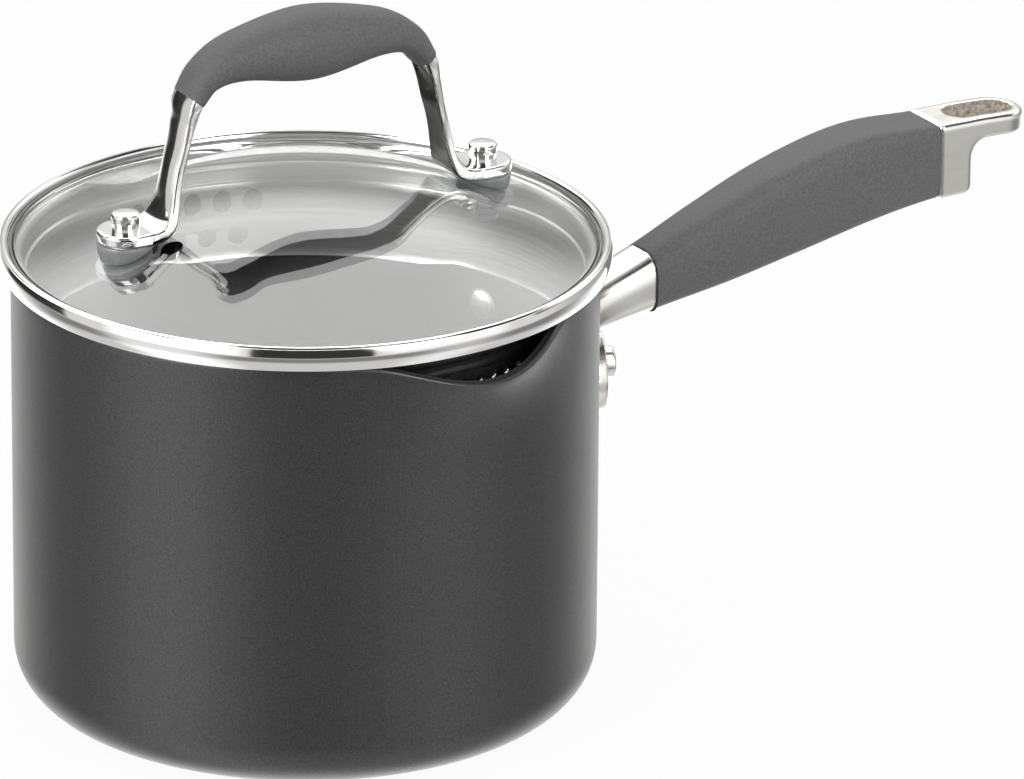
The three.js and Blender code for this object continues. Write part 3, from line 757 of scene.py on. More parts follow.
def end_cap():
    """The end cap with its hang slot, whose wall is left as cast."""
    cap = cap_block()
    slot_start, slot_radius = GRIP_END + SLOT_MARGIN, SLOT_WIDTH / 2
    slot_end = slot_start + SLOT_LENGTH
    slot = stadium(slot_start, slot_end, slot_radius)
    combine(cap, upright_block("slot", slot), "DIFFERENCE")
    cast(cap, 0.3, 8)
    near, far, aside = GRIP_END + CLEARANCE, GRIP_END + 60, 40
    keep = [(near, -aside), (far, -aside), (far, aside), (near, aside)]
    combine(cap, upright_block("keep", keep), "INTERSECT")
    dress(cap, CAST, RAW_CASTING)
    line_start, line_end = slot_start + slot_radius, slot_end - slot_radius
    for face in cap.data.polygons:
        x, y, _ = face.center / MM
        off = math.hypot(x - within(x, line_start, line_end), y)
        in_slot = off < slot_radius + 0.35 and abs(face.normal.z) < 0.6
        face.material_index = 1 if in_slot else 0
    cap.data.shade_smooth()
    cap.name = "long_handle_end_cap"
    return finish_piece(cap, "pan", "cast_steel", "handle_end_cap")


def pan_rivet(name, angle):
    """A rivet along its own axis: domed inside the pan, a flat head outside."""
    low, high = span("handle_rivet_left", Z)
    head = (high - low) / 2
    wall = PAN_RADIUS - WALL - CLEARANCE
    seat = PLATE_INNER + PLATE_THICKNESS + 0.05
    rounding = 1
    shoulder = seat + RIVET_HEAD_HEIGHT - rounding
    dome = [(head * math.sin(math.radians(a)), wall - RIVET_DOME * math.cos(math.radians(a)))
            for a in range(0, 90, 10)]
    outline = dome + [(head, wall), (RIVET_SHANK, wall), (RIVET_SHANK, seat), (head, seat),
                      (head, shoulder)]
    outline += arc((head - rounding, shoulder), rounding, 15, 90, 5)
    outline += [(0, shoulder + rounding)]
    points, faces = turned(outline, 64)
    turn = Matrix.Rotation(math.radians(angle), 4, "Z") @ Matrix.Rotation(math.radians(90), 4, "Y")
    points = [turn @ Vector(p) + Vector((0, 0, RIVET_HEIGHT)) for p in points]
    piece = outward(new_piece(f"{name}_set", points, faces, [CAST, SATIN]))
    soften(piece)
    for face in piece.data.polygons:
        in_pan = math.hypot(*face.center[:2]) < (PAN_RADIUS - WALL) * MM
        face.material_index = 1 if in_pan else 0
    return finish_piece(piece, "pan", "cast_steel", name)


# ------------------------------------------------------------------ lid

def lid_mesh(name, points, faces, material):
    """A mesh of the lid's own frame, turned as the lid is, its faces outwards."""
    return outward(new_piece(name, [with_lid(p) for p in points], faces, [material]))


def lid_piece(name, points, faces, material, slot, *nodes, body="lid", sharp=35):
    """A finished piece of the lid."""
    piece = lid_mesh(name, points, faces, material)
    soften(piece, sharp)
    return finish_piece(piece, body, slot, *nodes)


def rim_hoop():
    """Rolled bead above a flared band, with a lip below the skirt's flange."""
    hem_height, swell = HOOP_BOTTOM + BAND_HEM, GLASS_EDGE - 1.8
    foot = math.degrees(math.asin((hem_height - swell) / BAND_BULGE))
    outline = [(HOOP_LIP, HOOP_BOTTOM), (BAND_RADIUS - 1.1, HOOP_BOTTOM)]
    outline += arc((BAND_RADIUS - 1, hem_height), BAND_HEM, -80, -35, 4)
    outline += arc((BAND_RADIUS - BAND_BULGE, swell), BAND_BULGE, foot, 20, 16)
    outline += arc((BEAD_CIRCLE - 0.35, GLASS_EDGE + 0.35), BEAD_RADIUS - 0.35, 35, 100, 8)
    outline += arc((BEAD_CIRCLE, GLASS_EDGE), BEAD_RADIUS, 110, 200, 8)
    outline += [(HOOP_INNER, GLASS_EDGE - BEAD_RADIUS), (HOOP_INNER, HOOP_BOTTOM + HOOP_SHEET),
                (HOOP_LIP, HOOP_BOTTOM + HOOP_SHEET)]
    points, faces = turned(outline, HOOP_STEPS)
    return lid_piece("rim_hoop_rolled", points, faces, POLISHED, "polished_steel",
                     "lid_rim_hoop", body="lid_rim", sharp=50)


def glass_height(radius):
    """Height of the glass's upper surface: a crown that runs through a wide bend into a
    straight sloping brim."""
    turn = math.asin(CROWN_RADIUS / CROWN_ARC)
    brim_start = CROWN_RADIUS + BRIM_BEND * (math.sin(turn) - math.sin(BRIM_SLOPE))
    brim_height = GLASS_EDGE + (GLASS_RADIUS - brim_start) * math.tan(BRIM_SLOPE)
    if radius >= brim_start:
        return brim_height - (radius - brim_start) * math.tan(BRIM_SLOPE)
    if radius > CROWN_RADIUS:
        slope = math.asin(math.sin(BRIM_SLOPE) + (brim_start - radius) / BRIM_BEND)
        return brim_height + BRIM_BEND * (math.cos(BRIM_SLOPE) - math.cos(slope))
    crown_edge = brim_height + BRIM_BEND * (math.cos(BRIM_SLOPE) - math.cos(turn))
    return crown_edge + math.sqrt(CROWN_ARC ** 2 - radius ** 2) - CROWN_ARC * math.cos(turn)


def lid_glass():
    """The domed glass with two rivet holes and the vent."""
    rim = GLASS_RADIUS - GLASS_BEVEL
    radii = [CROWN_RADIUS * i / 34 for i in range(35)]
    radii += [CROWN_RADIUS + (rim - CROWN_RADIUS) * i / 20 for i in range(1, 21)]
    edge_top = glass_height(GLASS_RADIUS)
    outline = [(r, glass_height(r)) for r in radii]
    outline += [(GLASS_RADIUS, edge_top - GLASS_BEVEL),
                (GLASS_RADIUS, edge_top - GLASS_THICKNESS + GLASS_BEVEL)]
    outline += [(r, glass_height(r) - GLASS_THICKNESS) for r in reversed(radii)]
    piece = lid_mesh("domed_glass", *turned(outline), GLASS)
    holes = ((FOOT_REACH, 0, RIVET_HOLE), (-FOOT_REACH, 0, RIVET_HOLE),
             (-VENT_REACH, -VENT_OFFSET, VENT_RADIUS))
    for x, y, radius in holes:
        points, faces = rod(radius, HOOP_BOTTOM, GLASS_EDGE + 40)
        points = [(px + x, py + y, pz) for px, py, pz in points]
        combine(piece, lid_mesh("hole", points, faces, GLASS), "DIFFERENCE")
    dress(piece, GLASS)
    soften(piece)
    return finish_piece(piece, "lid", "lid_glass", "lid_glass")


def edge_seal():
    """The gasket between the glass's edge and the hoop, with its upper edges cut back."""
    outer = HOOP_INNER - CLEARANCE
    inner, cut = outer - SEAL_WIDTH, 0.2
    bottom, top = GLASS_EDGE - GLASS_THICKNESS, GLASS_EDGE + 0.35
    outline = [(inner, bottom), (outer, bottom), (outer, top - cut), (outer - cut, top),
               (inner + cut, top), (inner, top - cut)]
    points, faces = turned(outline, HOOP_STEPS)
    return lid_piece("edge_gasket", points, faces, DULL, "seal_rubber", "glass_edge_seal")


def perforations():
    """Cutters for the skirt's holes: a tree that sets rods side by side on an arc. Lengths
    are in millimetres and angles in degrees."""
    tree = bpy.data.node_groups.new("perforations", "GeometryNodeTree")
    face = tree.interface
    for name in ("Radius", "Columns", "Pitch", "Middle", "Height", "Stretch"):
        face.new_socket(name, in_out="INPUT", socket_type="NodeSocketFloat").default_value = 1
    face.new_socket("Geometry", in_out="OUTPUT", socket_type="NodeSocketGeometry")
    links = tree.links
    inside, outside = node(tree, "NodeGroupInput"), node(tree, "NodeGroupOutput")
    size = inside.outputs

    def maths(operation, a, b=0.0):
        return math_node(tree, operation, a, b)

    line = node(tree, "GeometryNodeMeshLine")
    links.new(size["Columns"], line.inputs["Count"])
    index = node(tree, "GeometryNodeInputIndex").outputs[0]
    half_row = maths("MULTIPLY", maths("SUBTRACT", size["Columns"], 1), 0.5)
    turned_by = maths("MULTIPLY", maths("SUBTRACT", index, half_row), size["Pitch"])
    angle = maths("RADIANS", maths("ADD", turned_by, size["Middle"]))
    place = node(tree, "ShaderNodeCombineXYZ")
    radius = SKIRT_RADIUS * MM
    links.new(maths("MULTIPLY", maths("COSINE", angle), radius), place.inputs["X"])
    links.new(maths("MULTIPLY", maths("SINE", angle), radius), place.inputs["Y"])
    links.new(maths("MULTIPLY", size["Height"], MM), place.inputs["Z"])
    set_place = node(tree, "GeometryNodeSetPosition")
    links.new(line.outputs["Mesh"], set_place.inputs["Geometry"])
    links.new(place.outputs[0], set_place.inputs["Position"])
    cutter = node(tree, "GeometryNodeMeshCylinder")
    cutter.inputs["Vertices"].default_value = 28
    cutter.inputs["Depth"].default_value = CUTTER_LENGTH * MM
    links.new(maths("MULTIPLY", size["Radius"], MM), cutter.inputs["Radius"])
    turn = node(tree, "ShaderNodeCombineXYZ")
    turn.inputs["Y"].default_value = math.pi / 2
    links.new(angle, turn.inputs["Z"])
    taller = node(tree, "ShaderNodeCombineXYZ")
    taller.inputs["Y"].default_value = 1
    taller.inputs["Z"].default_value = 1
    links.new(size["Stretch"], taller.inputs["X"])
    copies = node(tree, "GeometryNodeInstanceOnPoints")
    links.new(set_place.outputs["Geometry"], copies.inputs["Points"])
    links.new(cutter.outputs["Mesh"], copies.inputs["Instance"])
    links.new(turn.outputs[0], copies.inputs["Rotation"])
    links.new(taller.outputs[0], copies.inputs["Scale"])
    real = node(tree, "GeometryNodeRealizeInstances")
    links.new(copies.outputs["Instances"], real.inputs["Geometry"])
    dressed = node(tree, "GeometryNodeSetMaterial")
    dressed.inputs["Material"].default_value = BRUSHED
    links.new(real.outputs["Geometry"], dressed.inputs["Geometry"])
    links.new(dressed.outputs["Geometry"], outside.inputs["Geometry"])
    return tree


def hole_row(tree, **sizes):
    """One row of cutters as a plain mesh object."""
    holder = bpy.data.objects.new("cutters", bpy.data.meshes.new("cutters"))
    bpy.context.scene.collection.objects.link(holder)
    rule = holder.modifiers.new("perforations", "NODES")
    rule.node_group = tree
    sockets = {s.name: s.identifier for s in tree.interface.items_tree if s.in_out == "INPUT"}
    for name, value in sizes.items():
        rule[sockets[name]] = float(value)
    bpy.context.view_layer.update()
    return apply_modifiers(holder)


def skirt_outline():
    """The skirt's sheet: up its outside to the flange on the hoop's lip, then down inside."""
    shoulder = SKIRT_TOP - SHEET - COLLAR_DEPTH
    flange, bottom = HOOP_INNER - CLEARANCE, SKIRT_BOTTOM + 2
    under_flange, bend = SKIRT_TOP - SHEET, 1
    skirt_inner, collar_inner = SKIRT_RADIUS - SHEET, COLLAR_RADIUS - SHEET
    outer = [(SKIRT_RADIUS, bottom)]
    outer += between(outer[0], (SKIRT_RADIUS, shoulder - 0.9), 12)
    outer += [(SKIRT_RADIUS, shoulder - 0.9), (SKIRT_RADIUS + 0.25, shoulder - 0.45),
              (COLLAR_RADIUS - 0.15, shoulder - 0.15), (COLLAR_RADIUS, shoulder + 0.2),
              (COLLAR_RADIUS, under_flange - bend)]
    outer += arc((COLLAR_RADIUS + bend, under_flange - bend), bend, 180, 90, 4)[1:]
    outer += [(flange, under_flange)]
    bend += SHEET
    inner = [(flange, SKIRT_TOP), (COLLAR_RADIUS + 0.9, SKIRT_TOP)]
    inner += arc((collar_inner + bend, SKIRT_TOP - bend), bend, 90, 180, 5)[1:]
    inner += [(collar_inner, shoulder + 0.1), (collar_inner - 0.1, shoulder - 0.2),
              (skirt_inner + 0.2, shoulder - 0.5), (skirt_inner, shoulder - 0.95)]
    inner += between(inner[-1], (skirt_inner, bottom + 1), 12)
    inner += [(skirt_inner, bottom + 1), (skirt_inner - 0.2, bottom + 0.6),
              (skirt_inner - 0.4, bottom + 0.2), (skirt_inner - 0.3, bottom)]
    return outer + inner


def strainer_skirt():
    """The brushed skirt with large holes on one side and small ones on the other."""
    piece = outward(new_piece("skirt_sheet", *turned(skirt_outline()), [BRUSHED]))
    tree = perforations()
    for holes, rows in ((LARGE_HOLES, LARGE_ROWS), (SMALL_HOLES, SMALL_ROWS)):
        for columns, drop, stretch in rows:
            cutters = hole_row(tree, Columns=columns, Height=SKIRT_TOP - drop, Stretch=stretch, **holes)
            combine(piece, cutters, "DIFFERENCE")
    dress(piece, BRUSHED, PAINTED_SHADE_SHEET)
    # Outward faces get the darker copy of the brushed steel: painted shade.
    for face in piece.data.polygons:
        out = Vector(face.center[:2]).normalized().dot(Vector(face.normal[:2]))
        face.material_index = 1 if out > 0.5 else 0
    piece.data.transform(Matrix.Rotation(LID_TURN, 4, "Z"))
    soften(piece)
    piece.name = "strainer_skirt_sheet"
    return finish_piece(piece, "lid", "brushed_steel", "strainer_skirt")


# ------------------------------------------------------------------ lid handle

def strap_section(half_thickness, half_width, crown, hollow):
    """Section of the strap: a convex outer face, edges rounded, a slightly hollow inner one."""
    edge = min(half_thickness, half_width) * 0.55
    depth, flat_width = half_thickness - edge, half_width - edge
    across = [-1 + i / 7 for i in range(15)]
    corner = [(edge * math.cos(math.radians(a)), edge * math.sin(math.radians(a)))
              for a in (0, 22, 45, 68, 90)]
    points = [(half_thickness + crown * (1 - u * u), u * flat_width) for u in across]
    points += [(depth + c, flat_width + s) for c, s in corner[1:]]
    points += [(-depth - s, flat_width + c) for c, s in corner[:-1]]
    points += [(-half_thickness + hollow * (1 - u * u), -u * flat_width) for u in across]
    points += [(-depth - c, -flat_width - s) for c, s in corner[1:]]
    points += [(depth + s, -flat_width - c) for c, s in corner[:-1]]
    return points


def foot_plate(sign):
    """The round end of the strap's flat foot, with rounded edges."""
    back, rounding = FOOT_REACH - 4, 0.7
    outline = arc((FOOT_REACH, 0), FOOT_RADIUS, -90, 90, 24)
    outline += [(back, FOOT_RADIUS), (back, -FOOT_RADIUS)]
    edge = arc((-rounding, rounding), rounding, -80, 0, 4)
    edge += arc((-rounding, FOOT_THICKNESS - rounding), rounding, 0, 80, 4)
    rings = []
    for inset, height in edge:
        ring = []
        for x, y in outline:
            away = Vector((max(x - FOOT_REACH, 0), y)).normalized() * inset
            ring.append((sign * (x + away.x), sign * (y + away.y), FOOT_BOTTOM + height))
        rings.append(ring)
    return lofted(rings)


def strap_stations():
    """From the far foot over the arch to the near one: reach, height, half thickness, half
    width, crown of the outer face and hollow of the inner one."""
    side = [
        (FOOT_REACH - 1, FOOT_BOTTOM + 1.7, 1.7, 7.8, 0.0, 0.0),
        (FOOT_REACH - 5, FOOT_BOTTOM + 1.72, 1.7, 7.7, 0.0, 0.0),
        (LEG_REACH + 7, FOOT_BOTTOM + 2.3, 1.7, 7.3, 0.1, 0.1),
        (LEG_REACH + 4.6, FOOT_BOTTOM + 4.4, 1.5, 6.7, 0.4, 0.0),
        (LEG_REACH + 3.3, FOOT_BOTTOM + 8.0, 1.25, 5.8, 0.8, 0.0),
        (LEG_REACH + 2.4, FOOT_BOTTOM + 12.5, 1.15, 5.1, 1.0, 0.0),
        (LEG_REACH + 1.3, GLASS_EDGE + 28.0, 1.15, 4.8, 1.0, 0.0),
        (LEG_REACH, GLASS_EDGE + 33.0, 1.15, 5.1, 1.0, 0.0),
        (LEG_REACH - 1.5, GLASS_EDGE + 40.0, 1.3, 5.4, 1.0, 0.1),
        (LEG_TOP[0], GLASS_EDGE + LEG_TOP[1], 1.8, 5.9, 0.8, 0.3),
        (ARCH_CORNER[0], GLASS_EDGE + ARCH_CORNER[1], 1.2, 4.2, 0.2, 0.0),
        (ARCH_SHOULDER[0], GLASS_EDGE + ARCH_SHOULDER[1], 1.1, 3.7, 0.0, 0.0)]
    middle = (0, GLASS_EDGE + ARCH_RISE, 1.1, 3.7, 0.0, 0.0)
    return [(-reach, *sizes) for reach, *sizes in side] + [middle] + side[::-1]


def strap():
    """The strap swept from foot to foot, with a plate at each end, forged in one."""
    rings = swept(strap_stations(), strap_section, 300)
    piece = outward(new_piece("strap", *lofted(rings), [POLISHED]))
    for sign in (1, -1):
        combine(piece, outward(new_piece("plate", *foot_plate(sign), [POLISHED])), "UNION")
    cast(piece, 0.3, 6)
    for sign in (1, -1):
        hole = outward(new_piece("hole", *rod(2.5, 0, FOOT_TOP + 5), [POLISHED]))
        hole.data.transform(Matrix.Translation((sign * FOOT_REACH * MM, 0, 0)))
        combine(piece, hole, "DIFFERENCE")
    dress(piece, POLISHED, PAINTED_SHADE_STEEL, OUTER_FACE_PAINTED_SHADE)
    # The legs' inner faces get the darker steel and their outer faces the steel darkened up the leg:
    # both painted shade.
    for face in piece.data.polygons:
        x, _, z = face.center
        inward = -face.normal.x if x > 0 else face.normal.x
        face.material_index = 0
        if abs(face.normal.y) < 0.5 and z > (FOOT_TOP + 0.6) * MM:
            face.material_index = 1 if inward > 0.35 else 2 if inward < -0.15 else 0
    piece.data.transform(Matrix.Rotation(LID_TURN, 4, "Z"))
    piece.data.shade_smooth()
    piece.name = "lid_handle_strap_forged"
    return finish_piece(piece, "lid", "polished_steel", "lid_handle_strap")


def lid_grip():
    """The silicone sleeve on the strap's arch: reach, height, half height and half width."""
    side = [(*LEG_TOP, 3.2, 6.3), (*ARCH_CORNER, 4.3, 6.9), (*ARCH_SHOULDER, 6.4, 8.6)]
    line = [(-reach, *sizes) for reach, *sizes in side] + [(0, ARCH_RISE, 9.6, 10.5)] + side[::-1]
    stations = [(reach, GLASS_EDGE + rise, *sizes) for reach, rise, *sizes in line]
    rings = swept(stations, lambda height, width: superellipse(height, width, 2.25, 64), 140)
    return lid_piece("lid_grip_sleeve", *lofted(rings), RUBBER, "handle_rubber", "lid_grip")


def foot_pad(side, sign):
    """A soft pad from just above the glass, whose form it follows, to just below the foot."""
    inner, outer = LEG_REACH + FOOT_PAD_SETBACK, FOOT_REACH + FOOT_PAD_RADIUS
    outline = stadium(inner, outer, FOOT_PAD_RADIUS)
    middle = (inner + outer) / 2
    top = FOOT_BOTTOM - 0.05
    rings = []
    for share, inset in ((0, 1.1), (0.1, 0.8), (0.4, 0.35), (0.7, 0.1), (0.92, 0.05), (1, 0.3)):
        ring = []
        for x, y in outline:
            away = Vector((x - middle, y)).normalized() * inset
            px, py = x - away.x, y - away.y
            low = glass_height(math.hypot(px, py)) + 0.08
            ring.append((sign * px, sign * py, low + (top - low) * share))
        rings.append(ring)
    return lid_piece(f"foot_pad_{side}", *lofted(rings), SEAL, "seal_rubber",
                     f"lid_foot_pad_{side}")


def lid_rivet(side, x):
    """A rivet through foot, glass and washers: a low head below, a cap with a waist above."""
    bottom, top = span(f"lid_rivet_{side}", Z)
    head, seat, waist = LID_RIVET_HEAD, FOOT_TOP + 0.02, LID_RIVET_HEAD - 0.2
    low_edge, low_top, cap_edge = 0.8, bottom + 1.6, 0.9
    outline = [(0, bottom), (head * 0.75, bottom)]
    outline += arc((head - 1, bottom + low_edge), low_edge, -60, 0, 4)
    outline += [(waist, low_top), (LID_RIVET_SHANK, low_top), (LID_RIVET_SHANK, seat),
                (waist, seat), (waist, FOOT_TOP + 1.2), (head, FOOT_TOP + 2)]
    outline += arc((head - cap_edge, top - 1), cap_edge, 0, 72, 6)
    outline += [(head - 2 * cap_edge, top - 0.05), (0, top)]
    points, faces = turned(outline, 64)
    points = [(px + x, py, pz) for px, py, pz in points]
    piece = lid_piece(f"lid_rivet_{side}_set", points, faces, POLISHED, "polished_steel",
                      f"lid_rivet_{side}")
    piece.data.materials.append(DULL)
    for face in piece.data.polygons:
        below_glass = face.center.z < (GLASS_EDGE + 8) * MM
        face.material_index = 1 if below_glass else 0
    return piece


def disc_below(name, x, radius, start, end, slot, cad_node):
    """A washer that follows the glass's underside, between two depths below it."""
    edge = 0.3
    profile = ((RIVET_HOLE, start), (radius - edge, start), (radius, start + 0.25),
               (radius, end - 0.25), (radius - edge, end), (RIVET_HOLE, end))
    points, faces = [], []
    steps = 64
    for r, depth in profile:
        for i in range(steps):
            a = 2 * math.pi * i / steps
            px, py = x + r * math.cos(a), r * math.sin(a)
            points.append((px, py, glass_height(math.hypot(px, py)) - GLASS_THICKNESS - depth))
    for i in range(len(profile)):
        for j in range(steps):
            k, n = (j + 1) % steps, (i + 1) % len(profile)
            faces.append((i * steps + j, i * steps + k, n * steps + k, n * steps + j))
    return lid_piece(name, points, faces, DULL, slot, cad_node)


# ------------------------------------------------------------------ build

pan_body()
bracket()
handle_grip()
end_cap()
pan_rivet("handle_rivet_left", RIVET_ANGLE)
pan_rivet("handle_rivet_right", -RIVET_ANGLE)
rim_hoop()
lid_glass()
edge_seal()
strainer_skirt()
strap()
lid_grip()
for side, sign in (("near", 1), ("far", -1)):
    reach = sign * FOOT_REACH
    foot_pad(side, sign)
    lid_rivet(side, reach)
    for kind, radius, depths, slot in (("inner_seal", 7.5, (0.1, 2), "seal_rubber"),
                                       ("inner_washer", 6.5, (2.1, 3.2), "brushed_steel")):
        disc_below(f"{kind}_{side}", reach, radius, *depths, slot, f"lid_{kind}_{side}")


# ------------------------------------------------------------------ studio
# Lengths in metres. Angles in degrees: azimuth goes from the camera's side to the right,
# elevation up from level.

CAMERA_AZIMUTH = math.radians(-31.5)
TOWARDS_CAMERA = Vector((math.sin(CAMERA_AZIMUTH), -math.cos(CAMERA_AZIMUTH), 0))
CAMERA_RIGHT = Vector((math.cos(CAMERA_AZIMUTH), math.sin(CAMERA_AZIMUTH), 0))
CAMERA_ELEVATION = math.radians(22.22)
CAMERA_DISTANCE = 3.0
CAMERA_LENS = 396.1
CAMERA_SHIFT = -0.00195
CAMERA_ROLL = math.radians(0.45)
AIM_RIGHT, AIM_BEYOND, AIM_RISE = 0.0555, 0.0068, 0.01815
LAMP_AIM = Vector((0, 0, 0.07))
FLOOR_REACH = 12

# Patches of the floor: strength, then azimuth as (low, high, softness of the edge).
FLOOR_PATCHES = (
    (0.62, (-78, -36, 12)),
    (0.3, (48, 76, 12)),
)
# Windows of the studio: amount or strength, azimuth and elevation.
DARK_WINDOWS = (
    (0.95, (-20, 25, 1), (-14, 21, 2)),    # the screen that the camera looks through
    (0.93, (-142, -98, 2), (-14, 25, 3)),  # a flag behind on the left
    (0.85, (92, 155, 2), (1, 7, 2)),       # a thin one behind on the right
    (0.95, (78, 150, 7), (37, 63, 4)),     # one up on the right
)
SOFTBOXES = (
    (10.0, (-68, -40, 4), (15, 62, 6)),    # tall, on the left of the camera
    (4.5, (24, 52, 5), (15, 62, 6)),       # tall, on its right
    (0.35, (30, 78, 5), (-10, 30, 3)),     # faint and wide, on its right
    (0.55, (-76, -24, 5), (-12, 15, 3)),   # low, on its left
    (0.55, (26, 56, 5), (2, 20, 4)),       # low, on its right
)


def floor():
    """A plain white floor that the camera sees almost without shade."""
    mesh = bpy.data.meshes.new("floor")
    far = FLOOR_REACH
    mesh.from_pydata([(-far, -far, 0), (far, -far, 0), (far, far, 0), (-far, far, 0)], [],
                     [(0, 1, 2, 3)])
    piece = bpy.data.objects.new("floor", mesh)
    bpy.context.scene.collection.objects.link(piece)
    material, nodes, links, shader = new_material("floor_white")
    tree = material.node_tree
    grain = add_grain(material, 3, 0.4)
    links.new(mixed(material, grain, (0.93, 0.93, 0.93), (0.95, 0.95, 0.95)),
              shader.inputs["Base Color"])
    shader.inputs["Roughness"].default_value = 0.9
    path = node(tree, "ShaderNodeLightPath")
    white = node(tree, "ShaderNodeEmission")
    white.inputs["Strength"].default_value = 1
    blend = node(tree, "ShaderNodeMixShader")
    links.new(math_node(tree, "MULTIPLY", path.outputs["Is Camera Ray"], 0.95), blend.inputs["Fac"])
    links.new(shader.outputs["BSDF"], blend.inputs[1])
    links.new(white.outputs[0], blend.inputs[2])
    links.new(blend.outputs[0], nodes["Material Output"].inputs["Surface"])
    mesh.materials.append(material)
    piece.visible_glossy = False


class LightMaths:
    """Nodes that work out the studio's brightness in a direction."""

    def __init__(self, tree):
        self.tree = tree
        self.place = node(tree, "ShaderNodeTexCoord")
        turn = self.value("ARCTAN2", self.dot(CAMERA_RIGHT), self.dot(TOWARDS_CAMERA))
        self.azimuth = self.value("DEGREES", turn)
        self.elevation = self.value("DEGREES", self.value("ARCSINE", self.dot((0, 0, 1))))

    def value(self, operation, a, b=0.0):
        return math_node(self.tree, operation, a, b)

    def dot(self, direction):
        made = node(self.tree, "ShaderNodeVectorMath", operation="DOT_PRODUCT")
        self.tree.links.new(self.place.outputs["Generated"], made.inputs[0])
        made.inputs[1].default_value = direction
        return made.outputs["Value"]

    def rises(self, item, start, end):
        """0 at the start, 1 at the end, smooth between, whichever is lower."""
        made = node(self.tree, "ShaderNodeMapRange", interpolation_type="SMOOTHSTEP")
        self.tree.links.new(item, made.inputs["Value"])
        made.inputs["From Min"].default_value = start
        made.inputs["From Max"].default_value = end
        return made.outputs["Result"]

    def band(self, item, low, high, soft):
        """1 between low and high, 0 outside, with soft edges."""
        return self.value("SUBTRACT", self.rises(item, low - soft, low + soft),
                          self.rises(item, high - soft, high + soft))

    def window(self, azimuths, elevations):
        return self.times(self.band(self.azimuth, *azimuths), self.band(self.elevation, *elevations))

    def plus(self, *terms):
        total = terms[0]
        for term in terms[1:]:
            total = self.value("ADD", total, term)
        return total

    def times(self, *factors):
        total = factors[0]
        for factor in factors[1:]:
            total = self.value("MULTIPLY", total, factor)
        return total

    def rest(self, share):
        """What a share leaves of 1."""
        return self.value("SUBTRACT", 1.0, share)


def mirrored_level(maths):
    """Brightness of the studio as metal and glass mirror it."""
    rises, plus, times, rest = maths.rises, maths.plus, maths.times, maths.rest
    elevation, around = maths.elevation, maths.value("ABSOLUTE", maths.azimuth)
    # Level sky all round; behind the pan the light gets stronger towards the ceiling.
    behind = rises(around, 90, 130)
    sky = plus(0.75,
               times(behind, rises(elevation, 19, 37), 2.5),
               times(behind, rises(elevation, 44, 72), 1.2),
               times(rises(elevation, 28, 50), 0.4),
               times(behind, rises(elevation, 14, 2), -0.3))
    # The floor is darker towards the camera, with a light patch on each side of it.
    patches = [times(maths.band(maths.azimuth, *azimuths), strength)
               for strength, azimuths in FLOOR_PATCHES]
    ground = plus(0.24,
                  times(rises(around, 105, 165), 1.5),
                  *patches,
                  times(rises(elevation, -27, -37), 0.4))
    above = rises(elevation, -18, -13)
    level = plus(times(sky, above), times(ground, rest(above)))
    for amount, azimuths, elevations in DARK_WINDOWS:
        level = times(level, rest(times(maths.window(azimuths, elevations), amount)))
    # The ceiling is dark, and so is the sky above the camera's side but for the softboxes.
    level = times(level, rest(times(rises(elevation, 64, 74), 0.92)))
    level = times(level, rest(times(rest(behind), rises(elevation, 22, 36), 0.8)))
    return plus(level, *[times(maths.window(azimuths, elevations), strength)
                         for strength, azimuths, elevations in SOFTBOXES])


def background(tree, colour, strength):
    """A background of a colour whose strength is a number or a socket."""
    made = node(tree, "ShaderNodeBackground")
    made.inputs["Color"].default_value = (*colour, 1)
    if isinstance(strength, (int, float)):
        made.inputs["Strength"].default_value = strength
    else:
        tree.links.new(strength, made.inputs["Strength"])
    return made.outputs[0]


def shader_mix(tree, share, first, second):
    """Two shaders mixed by a share of the second."""
    made = node(tree, "ShaderNodeMixShader")
    for socket, item in zip(made.inputs, (share, first, second)):
        tree.links.new(item, socket)
    return made.outputs[0]


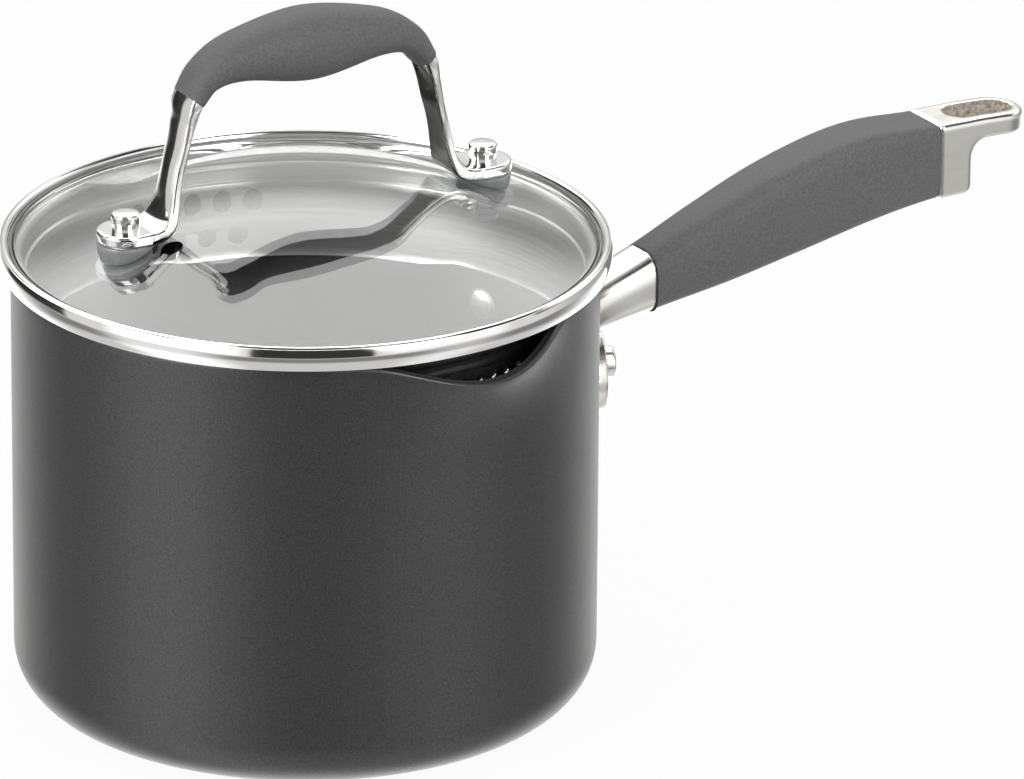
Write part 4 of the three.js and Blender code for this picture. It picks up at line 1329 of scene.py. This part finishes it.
def world():
    """White studio: plain white for the camera, soft for diffuse light, and with softboxes
    and dark sides for what metal and glass mirror."""
    studio = bpy.data.worlds.new("studio")
    bpy.context.scene.world = studio
    studio.use_nodes = True
    tree = studio.node_tree
    maths = LightMaths(tree)
    seen = background(tree, (1, 1, 1), 1.0)
    reflected = background(tree, (1, 0.995, 0.985), mirrored_level(maths))
    dimmer = maths.times(maths.rises(maths.elevation, 10, 70), -0.3)
    soft = background(tree, (1, 1, 1), maths.plus(0.66, dimmer))
    path = node(tree, "ShaderNodeLightPath")
    mirrored = maths.value("GREATER_THAN", path.outputs["Glossy Depth"], 0.5)
    direct = maths.value("MAXIMUM", path.outputs["Is Camera Ray"],
                         path.outputs["Is Transmission Ray"])
    light = shader_mix(tree, mirrored, soft, reflected)
    light = shader_mix(tree, maths.times(direct, maths.rest(mirrored)), light, seen)
    tree.links.new(light, tree.nodes["World Output"].inputs["Surface"])


def area_lamp(name, azimuth, elevation, power, distance=1.6, size=1.2):
    """A soft square lamp that points at the pan and isn't mirrored."""
    a, e = math.radians(azimuth), math.radians(elevation)
    flat = TOWARDS_CAMERA * math.cos(a) + CAMERA_RIGHT * math.sin(a)
    place = LAMP_AIM + (flat * math.cos(e) + Vector((0, 0, math.sin(e)))) * distance
    lamp = bpy.data.lights.new(name, "AREA")
    lamp.size = size
    lamp.energy = power
    holder = bpy.data.objects.new(name, lamp)
    holder.location = place
    holder.rotation_mode = "QUATERNION"
    holder.rotation_quaternion = (LAMP_AIM - place).to_track_quat("-Z", "Y")
    holder.visible_glossy = False
    holder.visible_camera = False
    bpy.context.scene.collection.objects.link(holder)


def camera():
    """Long lens from a little above, with the whole pan and its handle in view."""
    middle = Vector((0, 0, GLASS_EDGE * MM / 2))
    up = Vector((0, 0, 1))
    away = TOWARDS_CAMERA * math.cos(CAMERA_ELEVATION) + up * math.sin(CAMERA_ELEVATION)
    place = middle + away * CAMERA_DISTANCE
    aim = middle + CAMERA_RIGHT * AIM_RIGHT - TOWARDS_CAMERA * AIM_BEYOND + up * AIM_RISE
    view = bpy.data.cameras.new("camera")
    view.lens = CAMERA_LENS
    view.sensor_width = 36
    view.shift_x = CAMERA_SHIFT
    holder = bpy.data.objects.new("camera", view)
    turn = (aim - place).to_track_quat("-Z", "Y").to_matrix().to_4x4()
    roll = Matrix.Rotation(CAMERA_ROLL, 4, "Z")
    holder.matrix_world = Matrix.Translation(place) @ turn @ roll
    bpy.context.scene.collection.objects.link(holder)
    bpy.context.scene.camera = holder


floor()
world()
area_lamp("key", -55, 40, 10)
area_lamp("fill", 70, 35, 8)
camera()
bpy.context.scene.view_settings.view_transform = "Standard"
